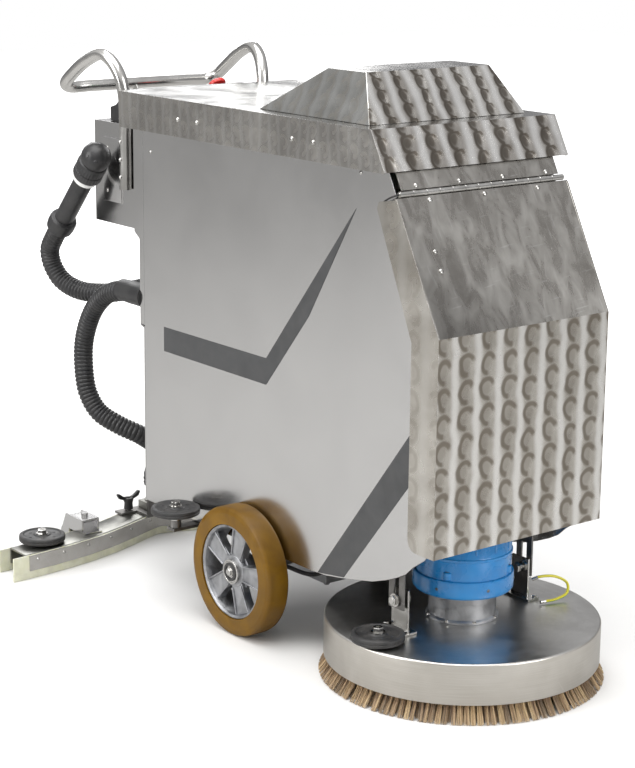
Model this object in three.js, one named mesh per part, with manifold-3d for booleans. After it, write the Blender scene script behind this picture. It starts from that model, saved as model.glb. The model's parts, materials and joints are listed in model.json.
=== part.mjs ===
// Wet dry floor scrubber, walk-behind, stainless housing.
// Millimetres. +Z up, floor at z = 0, the machine drives towards -Y, x = 0 is its middle plane.
// Parts named "right" lie on the machine's right hand, which is -X.
import * as THREE from 'three';
import * as BufferGeometryUtils from 'three/addons/utils/BufferGeometryUtils.js';
import Module from 'manifold-3d';

const wasm = await Module();
wasm.setup();

// ---- driving dimensions ----
const gap = 0.3;                 // clearance between pieces that touch
const sheet = 3;                 // sheet metal thickness

const doorHalf = 198;            // half width over the front door
const lidHalf = 212;             // half width over the lid
const panelHalf = 184;           // half width over the side panels
const frontY = -539;             // front face of the door
const doorBottom = 285;
const foldZ = 664;               // where the door leans back
const hinge = { y: -421.5, z: 887.5, radius: 4 };
const lean = (hinge.y - 2 - frontY) / (885 - foldZ);
const lidTop = 992;
const lidFrontY = -374;
const lipBottom = { y: -411, z: 924 };
const flangeBottom = 922;
const lidRearY = 394;
const lidHinge = { x: 217.6, z: 930 };
const panelBottom = 168;
const panelRearY = 354;
const midRearY = 370;
const upperRearY = 388;

const deck = { y: -398, radius: 250, top: 107, rim: 33, wall: 3 };
const bristle = { root: 238, tip: 259, inner: 120, top: 44.7 };
const motor = { flangeRadius: 61, ringRadius: 91, bodyRadius: 86, flangeTop: 157, ringTop: 196, top: 336 };
const wheel = { y: -7, radius: 125, rim: 91, inner: 187, outer: 237 };
const axleRadius = 12.5;
const roller = { radius: 48, thick: 15, bolt: 6 };
const bumperSpot = { x: -213, y: -416, z: 110 };
const sideRollerSpot = { x: 233, y: 177, z: 193 };

const squeegee = { endY: 484, rise: 95.5, spread: 175, power: 1.35, half: 417, channelHalf: 385 };
const channel = { front: 8, depth: 65, bottom: 16, top: 50, wall: 4 };
const endRollerSpot = { x: 314, y: 552, z: 54 };
const knobSpot = { x: 58, y: 619 };
const supportSpot = { x: 200, back: 40, z: 26.4, wheelRadius: 26 };
const towPivot = { y: 294, z: 120, radius: 8 };
const spout = { y: 609.4, radius: 15, foot: 17.8, top: 106 };

const box = { half: 156, front: 394.6, rear: 574, bottom: 711, top: 916, wall: 3 };
const consoleHalf = 142;
const handle = { radius: 12.5, x: 169, legY: 440, legBottom: 790 };
const rail = { inner: 148, outer: 176, bottom: 290, top: 325 };
const hoseRadius = 20.5;

const finish = {
  steel: { color: 0xb9b6b0, metalness: 0.9, roughness: 0.32 },
  swirl: { color: 0xc4bfb8, metalness: 0.95, roughness: 0.25 },
  chrome: { color: 0xd5d5d2, metalness: 1, roughness: 0.12 },
  darkSteel: { color: 0x8d8a84, metalness: 0.85, roughness: 0.4 },
  blue: { color: 0x2f86d6, metalness: 0.1, roughness: 0.35 },
  cast: { color: 0x9a958d, metalness: 0.7, roughness: 0.5 },
  black: { color: 0x1c1c1e, metalness: 0, roughness: 0.5 },
  rubber: { color: 0x242426, metalness: 0, roughness: 0.75 },
  amber: { color: 0x9a6a1c, metalness: 0, roughness: 0.45 },
  blade: { color: 0xc9cfa0, metalness: 0, roughness: 0.35 },
  bristle: { color: 0xa98a5c, metalness: 0, roughness: 0.9 },
  tank: { color: 0xd8d8d0, metalness: 0, roughness: 0.5 },
  red: { color: 0xc22018, metalness: 0, roughness: 0.35 },
  green: { color: 0x2c8f3c, metalness: 0, roughness: 0.35 },
  white: { color: 0xe6e6e2, metalness: 0, roughness: 0.5 },
  earth: { color: 0xb9b021, metalness: 0, roughness: 0.5 },
};

const machine = new THREE.Group();

function add(name, geometry, look) {
  const mesh = new THREE.Mesh(geometry, new THREE.MeshStandardMaterial(finish[look]));
  mesh.name = name;
  machine.add(mesh);
}

// ---- solids ----
function solid(geometry) {
  const bare = geometry.clone();
  for (const name of Object.keys(bare.attributes)) if (name !== 'position') bare.deleteAttribute(name);
  const merged = BufferGeometryUtils.mergeVertices(bare, 1e-3);
  return new wasm.Manifold(new wasm.Mesh({
    numProp: 3,
    vertProperties: new Float32Array(merged.attributes.position.array),
    triVerts: new Uint32Array(merged.index.array),
  }));
}

function geometryOf(body) {
  const data = body.getMesh();
  const out = new THREE.BufferGeometry();
  out.setAttribute('position', new THREE.BufferAttribute(new Float32Array(data.vertProperties), 3));
  out.setIndex(new THREE.BufferAttribute(new Uint32Array(data.triVerts), 1));
  out.computeVertexNormals();
  return out;
}

function join(...parts) {
  return geometryOf(parts.map(solid).reduce((sum, part) => sum.add(part)));
}

function cut(base, ...tools) {
  return geometryOf(tools.map(solid).reduce((left, tool) => left.subtract(tool), solid(base)));
}

function block(x0, x1, y0, y1, z0, z1) {
  const geometry = new THREE.BoxGeometry(x1 - x0, y1 - y0, z1 - z0);
  return geometry.translate((x0 + x1) / 2, (y0 + y1) / 2, (z0 + z1) / 2);
}

function outline(points) {
  return new THREE.Shape(points.map(([a, b]) => new THREE.Vector2(a, b)));
}

function extrude(shape, depth, curveSegments = 8) {
  return new THREE.ExtrudeGeometry(shape, { depth, bevelEnabled: false, curveSegments });
}

// A profile drawn in (y, z), run along x from x0 to x1.
function alongX(shape, x0, x1, curveSegments) {
  const turn = new THREE.Matrix4().set(0, 0, 1, x0, 1, 0, 0, 0, 0, 1, 0, 0, 0, 0, 0, 1);
  return extrude(shape, x1 - x0, curveSegments).applyMatrix4(turn);
}

// A profile drawn in (x, y), run up z from z0 to z1.
function alongZ(shape, z0, z1, curveSegments) {
  return extrude(shape, z1 - z0, curveSegments).translate(0, 0, z0);
}

function rod(from, to, radius, segments = 14, endRadius = radius) {
  const a = new THREE.Vector3(...from);
  const b = new THREE.Vector3(...to);
  const axis = b.clone().sub(a);
  const geometry = new THREE.CylinderGeometry(endRadius, radius, axis.length(), segments);
  const turn = new THREE.Quaternion().setFromUnitVectors(new THREE.Vector3(0, 1, 0), axis.normalize());
  return geometry.applyQuaternion(turn).translate((a.x + b.x) / 2, (a.y + b.y) / 2, (a.z + b.z) / 2);
}

// A lathe about the z axis at (x, y); the profile is (radius, z), closed on itself or on the axis.
function turned(profile, x, y, segments = 48) {
  const points = profile.map(([r, z]) => new THREE.Vector2(r, z));
  if (profile[0][0] > 0) points.push(points[0].clone());
  return new THREE.LatheGeometry(points, segments).rotateX(Math.PI / 2).translate(x, y, 0);
}

function tube(points, radius, steps, sides = 10) {
  const curve = new THREE.CatmullRomCurve3(points.map((p) => new THREE.Vector3(...p)), false, 'centripetal');
  const section = new THREE.Shape();
  section.absarc(0, 0, radius, 0, 2 * Math.PI);
  return new THREE.ExtrudeGeometry(section, {
    steps, curveSegments: sides / 2, bevelEnabled: false, extrudePath: curve,
  });
}

function roundedShape(points, radius) {
  const shape = new THREE.Shape();
  const count = points.length;
  points.forEach((point, i) => {
    const corner = new THREE.Vector2(...point);
    const before = new THREE.Vector2(...points[(i + count - 1) % count]).sub(corner);
    const after = new THREE.Vector2(...points[(i + 1) % count]).sub(corner);
    const start = corner.clone().add(before.setLength(Math.min(radius, before.length() / 2)));
    const end = corner.clone().add(after.setLength(Math.min(radius, after.length() / 2)));
    if (i === 0) shape.moveTo(start.x, start.y);
    else shape.lineTo(start.x, start.y);
    shape.quadraticCurveTo(corner.x, corner.y, end.x, end.y);
  });
  shape.closePath();
  return shape;
}

// ---- housing ----
function sidePanel(side) {
  const shape = outline([
    [panelRearY, panelBottom], [panelRearY, 984], [-356, 984], [-404, 893], [-521, 670], [-521, 300],
    [-500, 272], [-472, 252], [-452, 234], [-430, 222], [-400, 209], [-363, 196],
    [-282, 179], [-232, 170.5], [-190, panelBottom],
  ].reverse());
  return alongX(shape, side > 0 ? panelHalf - sheet : -panelHalf, side > 0 ? panelHalf : -panelHalf + sheet);
}

function rearPanel() {
  const top = 984;
  const back = [
    [panelRearY + gap, panelBottom], [panelRearY + gap + sheet, panelBottom],
    [panelRearY + gap + sheet, 524], [midRearY, 528], [midRearY, 706], [upperRearY, 714],
    [upperRearY, top], [upperRearY - sheet, top], [upperRearY - sheet, 716],
    [midRearY - sheet, 709], [midRearY - sheet, 531], [panelRearY + gap, 527],
  ];
  const flange = [
    [panelRearY + gap, 530], [midRearY, 532], [midRearY, 702], [upperRearY - 3, 712],
    [upperRearY, 720], [upperRearY, top], [panelRearY + gap, top],
  ];
  const parts = [alongX(outline(back), -panelHalf, panelHalf)];
  for (const side of [-1, 1]) {
    const outer = side * panelHalf;
    const inner = side * (panelHalf - sheet);
    parts.push(alongX(outline(flange), Math.min(outer, inner), Math.max(outer, inner)));
  }
  parts.push(rod([-166, midRearY - 1, 583], [-166, 430.6, 583], 17.5, 16));
  parts.push(rod([-100, midRearY - 2, 590], [-100, 402.2, 590], 26, 16));
  return join(...parts);
}

function frontStrip() {
  const start = { y: hinge.y + lean * 6 - 1, z: hinge.z + 6 };
  const end = { y: start.y + lean * (982 - start.z), z: 982 };
  const thick = sheet * 1.15;
  const shape = outline([
    [start.y, start.z], [start.y + thick, start.z], [end.y + thick, end.z], [end.y, end.z],
  ]);
  return alongX(shape, -panelHalf + sheet + gap, panelHalf - sheet - gap);
}

function door() {
  const topY = hinge.y - 2;
  const sheetProfile = [
    [frontY, doorBottom], [frontY + sheet, doorBottom], [frontY + sheet, foldZ - 1],
    [topY + sheet * 1.1, 881], [topY - 1, 882], [frontY, foldZ],
  ];
  const flangeProfile = [
    [frontY, doorBottom], [frontY + 68, doorBottom], [frontY + 68, foldZ - 17],
    [topY + 47.5, 860], [topY + 43, 872], [topY - 3, 880], [frontY, foldZ],
  ];
  const parts = [alongX(outline(sheetProfile), -doorHalf, doorHalf)];
  for (const side of [-1, 1]) {
    const x0 = side > 0 ? doorHalf - sheet : -doorHalf;
    parts.push(alongX(doorFlange(flangeProfile), x0, x0 + sheet));
  }
  return join(...parts);
}

function doorFlange(points) {
  const rounding = 26;
  const shape = new THREE.Shape();
  shape.moveTo(...points[0]);
  shape.lineTo(points[1][0] - rounding, points[1][1]);
  shape.quadraticCurveTo(points[1][0], points[1][1], points[1][0], points[1][1] + rounding);
  for (const point of points.slice(2)) shape.lineTo(...point);
  shape.closePath();
  return shape;
}

function lid() {
  const outer = [
    [lipBottom.y, lipBottom.z], [lidFrontY, lidTop], [lidRearY, lidTop], [lidRearY, flangeBottom],
    [lidRearY - sheet, flangeBottom], [lidRearY - sheet, lidTop - sheet],
    [lidFrontY + 1.8, lidTop - sheet], [lipBottom.y + 3.4, lipBottom.z],
  ];
  const flange = [
    [lipBottom.y + 1, lipBottom.z], [lipBottom.y + 3, flangeBottom], [lidRearY, flangeBottom],
    [lidRearY, lidTop], [lidFrontY, lidTop],
  ];
  const parts = [alongX(outline([...outer].reverse()), -lidHalf, lidHalf)];
  for (const side of [-1, 1]) {
    const x0 = side > 0 ? lidHalf - sheet : -lidHalf;
    parts.push(alongX(outline(flange), x0, x0 + sheet));
  }
  parts.push(rod([lidHinge.x, -250, 930], [lidHinge.x, -170, 930], 5, 12));
  parts.push(block(lidHalf - 1, lidHalf + 5, -250, -170, 932, 950));
  parts.push(rod([lidHinge.x, 190, 930], [lidHinge.x, 270, 930], 5, 12));
  parts.push(block(lidHalf - 1, lidHalf + 5, 190, 270, 932, 950));
  return join(...parts);
}

function lidHingeFrame() {
  const parts = [];
  for (const y of [-210, 230]) {
    for (const end of [-1, 1]) {
      const y0 = y + end * 40.4;
      const y1 = y + end * 58;
      parts.push(rod([lidHinge.x, y0, 930], [lidHinge.x, y1, 930], 5, 12));
      parts.push(block(panelHalf - 1, lidHalf + 6, Math.min(y0, y1), Math.max(y0, y1), 914, 920));
      parts.push(block(lidHalf + 1, lidHalf + 6, Math.min(y0, y1), Math.max(y0, y1), 914, 930));
    }
    parts.push(block(panelHalf - 1, panelHalf + 5, y - 58, y + 58, 896, 920));
  }
  return join(...parts);
}

function frustum(base, top, z0, z1) {
  const corner = (r, z) => [[r.x0, r.y0, z], [r.x1, r.y0, z], [r.x1, r.y1, z], [r.x0, r.y1, z]];
  const points = [...corner(base, z0), ...corner(top, z1)];
  const faces = [0, 2, 1, 0, 3, 2, 4, 5, 6, 4, 6, 7];
  for (let i = 0; i < 4; i += 1) {
    const j = (i + 1) % 4;
    faces.push(i, j, j + 4, i, j + 4, i + 4);
  }
  const geometry = new THREE.BufferGeometry();
  geometry.setAttribute('position', new THREE.Float32BufferAttribute(points.flat(), 3));
  geometry.setIndex(faces);
  geometry.computeVertexNormals();
  return geometry;
}

function hood() {
  const z0 = lidTop + gap;
  const base = { x0: -180, x1: 180, y0: -331, y1: -20 };
  const top = { x0: -142, x1: 142, y0: -274, y1: -171 };
  const innerBase = { x0: -176, x1: 176, y0: -327, y1: -27 };
  const innerTop = { x0: -140, x1: 140, y0: -272, y1: -174 };
  return cut(frustum(base, top, z0, 1075), frustum(innerBase, innerTop, z0 - 1, 1072));
}

// ---- inside the housing ----
function chassis() {
  const parts = [];
  for (const side of [-1, 1]) {
    const span = (a, b) => (side > 0 ? [a, b] : [-b, -a]);
    parts.push(block(...span(rail.inner, rail.outer), -480, 350, rail.bottom, rail.top));
    parts.push(block(...span(136, 149), wheel.y - 34, wheel.y + 34, 98, rail.top));
    parts.push(block(...span(140, 146), sideRollerSpot.y - 17, sideRollerSpot.y + 17, 160, rail.top));
    parts.push(block(...span(140, sideRollerSpot.x + 12), sideRollerSpot.y - 12, sideRollerSpot.y + 12,
      160, 166));
    parts.push(rollerBolt(side * sideRollerSpot.x, sideRollerSpot.y, 162, sideRollerSpot.z, 11));
    parts.push(block(...span(22, 28), towPivot.y - 24, towPivot.y + 24, towPivot.z - 20, rail.bottom + 20));
  }
  for (const y of [-262, wheel.y - 10, sideRollerSpot.y - 15, towPivot.y - 20]) {
    parts.push(block(-rail.inner - 1, rail.inner + 1, y, y + 30, rail.bottom + 1, rail.top));
  }
  parts.push(rod([-52, towPivot.y, towPivot.z], [52, towPivot.y, towPivot.z], towPivot.radius, 16));
  const holes = rod([-160, wheel.y, 125], [160, wheel.y, 125], axleRadius + gap, 16);
  return cut(join(...parts), holes);
}

// A bolt that stands on its carrier: a wide spacer below the roller, a shank in it and a hex head above.
function rollerBolt(x, y, z0, rollerZ, spacer) {
  const headZ = rollerZ + roller.thick + 1;
  const parts = [rod([x, y, z0], [x, y, headZ + 1], roller.bolt, 12)];
  if (spacer) parts.push(rod([x, y, z0 + 1], [x, y, rollerZ - 1], spacer, 12));
  parts.push(rod([x, y, headZ], [x, y, headZ + 9], 9.5, 6));
  return join(...parts);
}

function rollerDisc(x, y, z) {
  const t = roller.thick;
  const r = roller.radius;
  const bore = roller.bolt + 0.6;
  return turned([
    [bore, z], [r - 3, z], [r, z + 3], [r, z + t - 3], [r - 4, z + t], [bore, z + t],
  ], x, y, 18);
}

function solutionTank() {
  const shape = roundedShape([[-505, 395], [-272, 395], [-272, 870], [-388, 870], [-505, 648]], 18);
  return alongX(shape, -168, 168, 4);
}

function recoveryTank() {
  const shape = roundedShape([[-262, 562], [348, 562], [348, 905], [-262, 905]], 22);
  return alongX(shape, -174, 174, 4);
}

function battery(y0, y1) {
  const parts = [block(-160, 160, y0, y1, 326, 530)];
  for (const x of [-110, 110]) parts.push(rod([x, (y0 + y1) / 2, 529], [x, (y0 + y1) / 2, 545], 9, 16));
  return join(...parts);
}

function suctionMotor() {
  const y = 294;
  return join(rod([0, y, 326], [0, y, 420], 46, 32), rod([0, y, 419], [0, y, 440], 30, 24),
    rod([0, y, 350], [-90, y, 350], 18, 20));
}

function tractionUnit() {
  const parts = [block(-52, 52, wheel.y - 60, wheel.y + 60, 78, 178)];
  parts.push(rod([0, wheel.y + 58, 128], [0, wheel.y + 170, 128], 42, 32));
  return cut(join(...parts), rod([-60, wheel.y, 125], [60, wheel.y, 125], axleRadius + gap, 16));
}

function axle() {
  return rod([-wheel.outer + 4, wheel.y, 125], [wheel.outer - 4, wheel.y, 125], axleRadius, 16);
}

// ---- wheels ----
function turnedOnX(profile, side, segments) {
  const geometry = turned(profile, 0, 0, segments);
  const turn = side > 0 ? Math.PI / 2 : -Math.PI / 2;
  return geometry.rotateY(turn).translate(0, wheel.y, 125);
}

function tyre(side) {
  const r = wheel.radius;
  const inner = wheel.rim + gap;
  return turnedOnX([
    [inner, wheel.inner], [r - 5, wheel.inner], [r - 1.5, wheel.inner + 1.5], [r, wheel.inner + 5],
    [r, wheel.outer - 5], [r - 1.5, wheel.outer - 1.5], [r - 5, wheel.outer], [inner, wheel.outer],
  ], side, 32);
}

function rim(side) {
  const back = wheel.inner + 2;
  const face = wheel.outer - 2;
  const barrel = turnedOnX([
    [wheel.rim - 7, back], [wheel.rim, back], [wheel.rim, face], [wheel.rim - 8, face],
    [wheel.rim - 10, face - 6], [wheel.rim - 9, back + 8],
  ], side, 32);
  const hubBore = axleRadius + 0.8;
  const hub = turnedOnX([
    [hubBore, back], [30, back], [32, face - 20], [27, face - 4], [hubBore, face - 4],
  ], side, 16);
  const spokes = [];
  for (let i = 0; i < 5; i += 1) {
    const shape = roundedShape([[24, -13], [84, -9.5], [84, 9.5], [24, 13]], 3);
    const spoke = alongZ(shape, face - 26, face - 9, 3).rotateZ(Math.PI / 2 + (i * 2 * Math.PI) / 5);
    spokes.push(spoke.rotateY(side > 0 ? Math.PI / 2 : -Math.PI / 2).translate(0, wheel.y, 125));
  }
  return join(barrel, hub, ...spokes);
}

function hubCap(side) {
  const face = wheel.outer - 4 + gap;
  const x = (value) => side * value;
  return join(rod([x(face), wheel.y, 125], [x(face + 3), wheel.y, 125], 24, 32),
    rod([x(face + 2.5), wheel.y, 125], [x(face + 7), wheel.y, 125], 9, 6));
}

// ---- brush deck ----
function deckShell() {
  const { radius, top, rim: low, wall } = deck;
  const shell = turned([
    [22, top - wall], [radius - wall - 2, top - wall], [radius - wall, top - wall - 2], [radius - wall, low],
    [radius, low], [radius, top - 3], [radius - 3, top], [22, top],
  ], 0, deck.y, 40);
  return join(shell, rollerBolt(bumperSpot.x, bumperSpot.y, top - 2, bumperSpot.z, 10));
}

function gearboxFlange() {
  const r = motor.flangeRadius;
  const z = deck.top + gap;
  return turned([
    [18, z], [r + 5, z], [r + 5, z + 5], [r, z + 8], [r - 1, z + 34], [r + 4, motor.flangeTop - 6],
    [r + 4, motor.flangeTop], [18, motor.flangeTop],
  ], 0, deck.y, 24);
}

function brushMotor() {
  const z = motor.flangeTop + gap;
  const r = motor.ringRadius;
  const b = motor.bodyRadius;
  return turned([
    [0, z], [r - 18, z], [r, z + 8], [r, motor.ringTop - 2], [r - 2, motor.ringTop], [b, motor.ringTop],
    [b, 230], [b + 2, 231], [b + 2, 236], [b, 237], [b, 312], [b - 10, motor.top - 6],
    [b - 24, motor.top], [0, motor.top],
  ], 0, deck.y, 24);
}

function brushHub() {
  const z = deck.top - deck.wall;
  return turned([[0, 70], [46, 70], [46, z - 8], [30, z - 4], [17, z - 4], [17, 140], [15, 142], [0, 142]],
    0, deck.y, 16);
}

function brushBlock() {
  return turned([[60, 45], [234, 45], [236, 50], [230, 66], [214, 69.7], [60, 69.7]], 0, deck.y, 28);
}

function bristleRing() {
  return turned([
    [bristle.inner, 0], [bristle.tip - 3, 0], [bristle.tip, 3], [bristle.tip - 4, 16],
    [bristle.tip - 11, 28], [bristle.root + 2, 36], [bristle.root - 8, bristle.top], [bristle.inner + 6, bristle.top],
  ], 0, deck.y, 36);
}

const linkX = 143;
const linkZ = 166;
const linkY = deck.y + 2;

function deckBracket(side) {
  const span = (a, b) => (side > 0 ? [a, b] : [-b, -a]);
  const z = deck.top + gap;
  return join(
    block(...span(linkX - 8, linkX + 19), linkY - 34, linkY + 34, z, z + 5),
    block(...span(linkX, linkX + 4), linkY - 22, linkY + 22, z + 4, linkZ + 20),
    rod([side * (linkX - 6), linkY, linkZ], [side * (linkX + 24), linkY, linkZ], 6, 16),
    rod([side * (linkX - 13), linkY, linkZ], [side * (linkX - 5), linkY, linkZ], 10.5, 6),
  );
}

function hanger(side) {
  const span = (a, b) => (side > 0 ? [a, b] : [-b, -a]);
  const plate = join(
    block(...span(linkX + 9, linkX + 13), linkY - 20, linkY + 20, linkZ - 16, rail.bottom - gap),
    block(...span(linkX + 9, rail.outer - 4), linkY - 20, linkY + 20, rail.bottom - 5, rail.bottom - gap),
  );
  const slot = block(...span(linkX + 5, linkX + 17), linkY - 6.8, linkY + 6.8, linkZ - 9, linkZ + 46);
  return cut(plate, slot);
}

function earthCable() {
  const start = [linkX + 14, linkY - 24, 146];
  return tube([
    start, [164, linkY - 30, 150], [196, linkY - 40, 147], [215, linkY - 52, 134], [206, linkY - 62, 120],
    [178, linkY - 62, 113], [148, linkY - 56, 112.5],
  ], 2.6, 26, 6);
}

// ---- squeegee ----
function bladeLine(x) {
  return squeegee.endY + squeegee.rise * Math.exp(-((Math.abs(x) / squeegee.spread) ** squeegee.power));
}

// A strip that follows the squeegee's curve, from `front` to `back` behind the blade line.
function curvedStrip(half, front, back, z0, z1, steps = 20) {
  const near = [];
  const far = [];
  for (let i = 0; i <= steps; i += 1) {
    const x = -half + (2 * half * i) / steps;
    near.push([x, bladeLine(x) + front]);
    far.push([x, bladeLine(x) + back]);
  }
  return alongZ(outline([...near, ...far.reverse()]), z0, z1);
}

function squeegeeChannel() {
  const { front, depth, bottom, top, wall } = channel;
  const half = squeegee.channelHalf;
  const spoutX = 0;
  const parts = [
    curvedStrip(half, front, front + depth, top - wall, top),
    curvedStrip(half, front, front + wall, bottom, top),
    curvedStrip(half, front + depth - wall, front + depth, bottom, top),
    block(-27, 27, spout.y - spout.foot, spout.y + spout.foot, top - 1, top + 22),
    rod([spoutX, spout.y, top + 20], [spoutX, spout.y, spout.top], spout.radius, 20),
  ];
  for (const side of [-1, 1]) {
    parts.push(rollerBolt(side * endRollerSpot.x, endRollerSpot.y, top - 2, endRollerSpot.z, 12));
    const knobX = side * knobSpot.x;
    parts.push(rod([knobX, knobSpot.y, top - 2], [knobX, knobSpot.y, top + 26], 4, 14));
  }
  return join(...parts);
}

function supportBracket(side) {
  const x = side * supportSpot.x;
  const y = bladeLine(x) + channel.front + channel.depth;
  const z = channel.top + gap;
  const parts = [
    block(x - 21, x + 21, y - 52, y + 14, z, z + 4),
    block(x - 21, x + 21, y - 40, y + 14, z + 26, z + 30),
    rod([x - 20, y + supportSpot.back, supportSpot.z], [x + 20, y + supportSpot.back, supportSpot.z], 4, 12),
    rod([x, y - 16, z + 29], [x, y - 16, z + 38], 7, 6),
  ];
  const cheek = outline([
    [y - 40, z + 1], [y + 14, z + 1], [y + 14, supportSpot.z - 6],
    [y + supportSpot.back + 8, supportSpot.z - 6], [y + supportSpot.back + 8, supportSpot.z + 8],
    [y + 26, z + 30], [y - 40, z + 30],
  ]);
  for (const cheekX of [x - 21, x + 17]) parts.push(alongX(cheek, cheekX, cheekX + 4));
  return join(...parts);
}

function supportWheel(side) {
  const x = side * supportSpot.x;
  const y = bladeLine(x) + channel.front + channel.depth + supportSpot.back;
  const r = supportSpot.wheelRadius;
  const profile = [[4.5, -12], [r - 4, -12], [r, -8], [r, 8], [r - 4, 12], [4.5, 12]];
  return turned(profile, 0, 0, 16).rotateY(Math.PI / 2).translate(x, y, supportSpot.z);
}

function wingKnob(side) {
  const x = side * knobSpot.x;
  const y = knobSpot.y;
  const z = channel.top + 8;
  const stem = turned([[4.4, z], [10, z], [9, z + 14], [11, z + 20], [11, z + 26], [4.4, z + 26]], x, y, 14);
  const wing = roundedShape([
    [4.6, z + 19], [24, z + 26], [29, z + 37], [24, z + 38], [13, z + 30], [4.6, z + 28],
  ], 4);
  const wings = [1, -1].map((turnSide) => {
    const blade = extrude(wing, 7, 4).translate(0, 0, -3.5).rotateX(Math.PI / 2);
    if (turnSide < 0) blade.rotateZ(Math.PI);
    return blade.translate(x, y, 0);
  });
  return join(stem, ...wings);
}

function towArm() {
  const z = channel.top + gap;
  const plate = block(-84, 84, knobSpot.y - 14, knobSpot.y + 14, z, z + 5);
  const parts = [plate];
  for (const side of [-1, 1]) {
    const span = side > 0 ? [31, 45] : [-45, -31];
    parts.push(block(...span, 560, knobSpot.y, z, z + 5));
    parts.push(block(...span, 560, 566, z, 100));
    parts.push(alongX(outline([[566, 94], [566, 104], [300, 132], [300, 108]]), ...span));
    parts.push(rod([side * 29, towPivot.y, towPivot.z], [side * 47, towPivot.y, towPivot.z], 17, 14));
  }
  const bores = [
    rod([-60, towPivot.y, towPivot.z], [60, towPivot.y, towPivot.z], towPivot.radius + gap, 16),
    rod([-knobSpot.x, knobSpot.y, z - 2], [-knobSpot.x, knobSpot.y, z + 8], 4.5, 14),
    rod([knobSpot.x, knobSpot.y, z - 2], [knobSpot.x, knobSpot.y, z + 8], 4.5, 14),
    block(-27.5, 27.5, spout.y - spout.foot - 0.5, spout.y + spout.foot + 0.5, z - 2, z + 8),
  ];
  return cut(join(...parts), ...bores);
}

// ---- control box, console and handle ----
function controlBox() {
  const { half, front, rear, bottom, top, wall } = box;
  const shell = cut(block(-half, half, front, rear - sheet - gap, bottom, top),
    block(-half + wall, half - wall, front + wall, rear + 1, bottom + wall, top - wall));
  const parts = [shell];
  for (const side of [-1, 1]) {
    const span = side > 0 ? [half - 1, half + 4] : [-half - 4, -half + 1];
    parts.push(block(...span, 472, 536, bottom + 45, top - 30));
  }
  return join(...parts);
}

function controlCover() {
  const { half, rear, bottom, top } = box;
  return block(-half, half, rear - sheet, rear, bottom, top);
}

function console() {
  const base = box.top + gap;
  const shape = outline([[412, base], [536, base], [536, 944], [516, 950], [474, 984], [412, 984]]);
  const bores = [[-40, 9], [20, 9], [100, 9]].map(([x, radius]) => (
    onPanel(rod([0, 0, -8], [0, 0, 3], radius + gap, 16), x)
  ));
  return cut(alongX(shape, -consoleHalf, consoleHalf), ...bores);
}

const panelFace = { y: 495, z: 967, tilt: Math.atan2(34, 42) };

// Things on the console's sloping face: u runs along x, lift is the height off the face.
function onPanel(geometry, x) {
  return geometry.rotateX(-panelFace.tilt).translate(x, panelFace.y, panelFace.z);
}

function panelButton(x, radius, height) {
  const profile = [[0, gap], [radius, gap], [radius, height - 1], [radius - 1, height], [0, height]];
  return onPanel(turned(profile, 0, 0, 16), x);
}

function stopButton(x) {
  return onPanel(turned([
    [0, gap], [9, gap], [9, 10], [19, 13], [19, 18], [15, 22], [0, 23],
  ], 0, 0, 20), x);
}

function keySwitch(x) {
  return onPanel(join(turned([[0, gap], [11, gap], [11, 5], [9.5, 6.5], [0, 6.5]], 0, 0, 24),
    block(-1.5, 1.5, -9, 9, 5, 22)), x);
}

function handleBar() {
  const half = [
    [handle.x, handle.legY, handle.legBottom], [handle.x, handle.legY, 880],
    [handle.x + 1, handle.legY, 975], [174, 449, 1014], [180, 470, 1042], [184, 498, 1054], [188, 545, 1039], [191, 596, 1009],
    [188, 630, 986], [170, 643.5, 977], [120, 643.5, 977],
  ];
  const other = half.map(([x, y, z]) => [-x, y, z]).reverse();
  return tube([...half, [0, 643.5, 977], ...other], handle.radius, 48, 8);
}

// ---- hoses ----
const suctionPath = [
  [-166, 432.4, 583], [-166.6, 450, 583], [-171, 478, 578], [-176, 512, 563], [-180, 554, 524],
  [-182, 586, 460], [-182, 591, 402],
  [-178, 583, 345], [-166, 560, 306], [-140, 524, 281], [-102, 498, 258], [-58, 508, 226],
  [-20, 548, 188], [-2, 594, 152], [0, 609, 128], [0, 609.4, 106.6],
];
const drainPath = [
  [-100, 404, 590], [-100.6, 420, 590], [-106, 446, 585], [-124, 500, 570], [-148, 570, 556],
  [-170, 628, 556], [-186, 668, 574], [-195, 689, 606], [-200, 688, 636], [-201.8, 668.3, 661.9],
  [-202, 648, 684],
];
const pipeAxis = { from: [-202, 647.4, 684.7], to: [-203, 531, 811] };

function alongPipe(distance) {
  const a = new THREE.Vector3(...pipeAxis.from);
  const b = new THREE.Vector3(...pipeAxis.to);
  const direction = b.clone().sub(a).normalize();
  return a.addScaledVector(direction, distance).toArray();
}

function drainPipe() {
  return join(rod(alongPipe(0), alongPipe(168), 20, 14), rod(alongPipe(0), alongPipe(34), 29, 14),
    rod(alongPipe(163), alongPipe(170), 25, 14));
}

function drainCap() {
  const ball = new THREE.SphereGeometry(31, 16, 8).translate(...alongPipe(226));
  return join(rod(alongPipe(170.4), alongPipe(212), 31, 16), ball);
}

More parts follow.
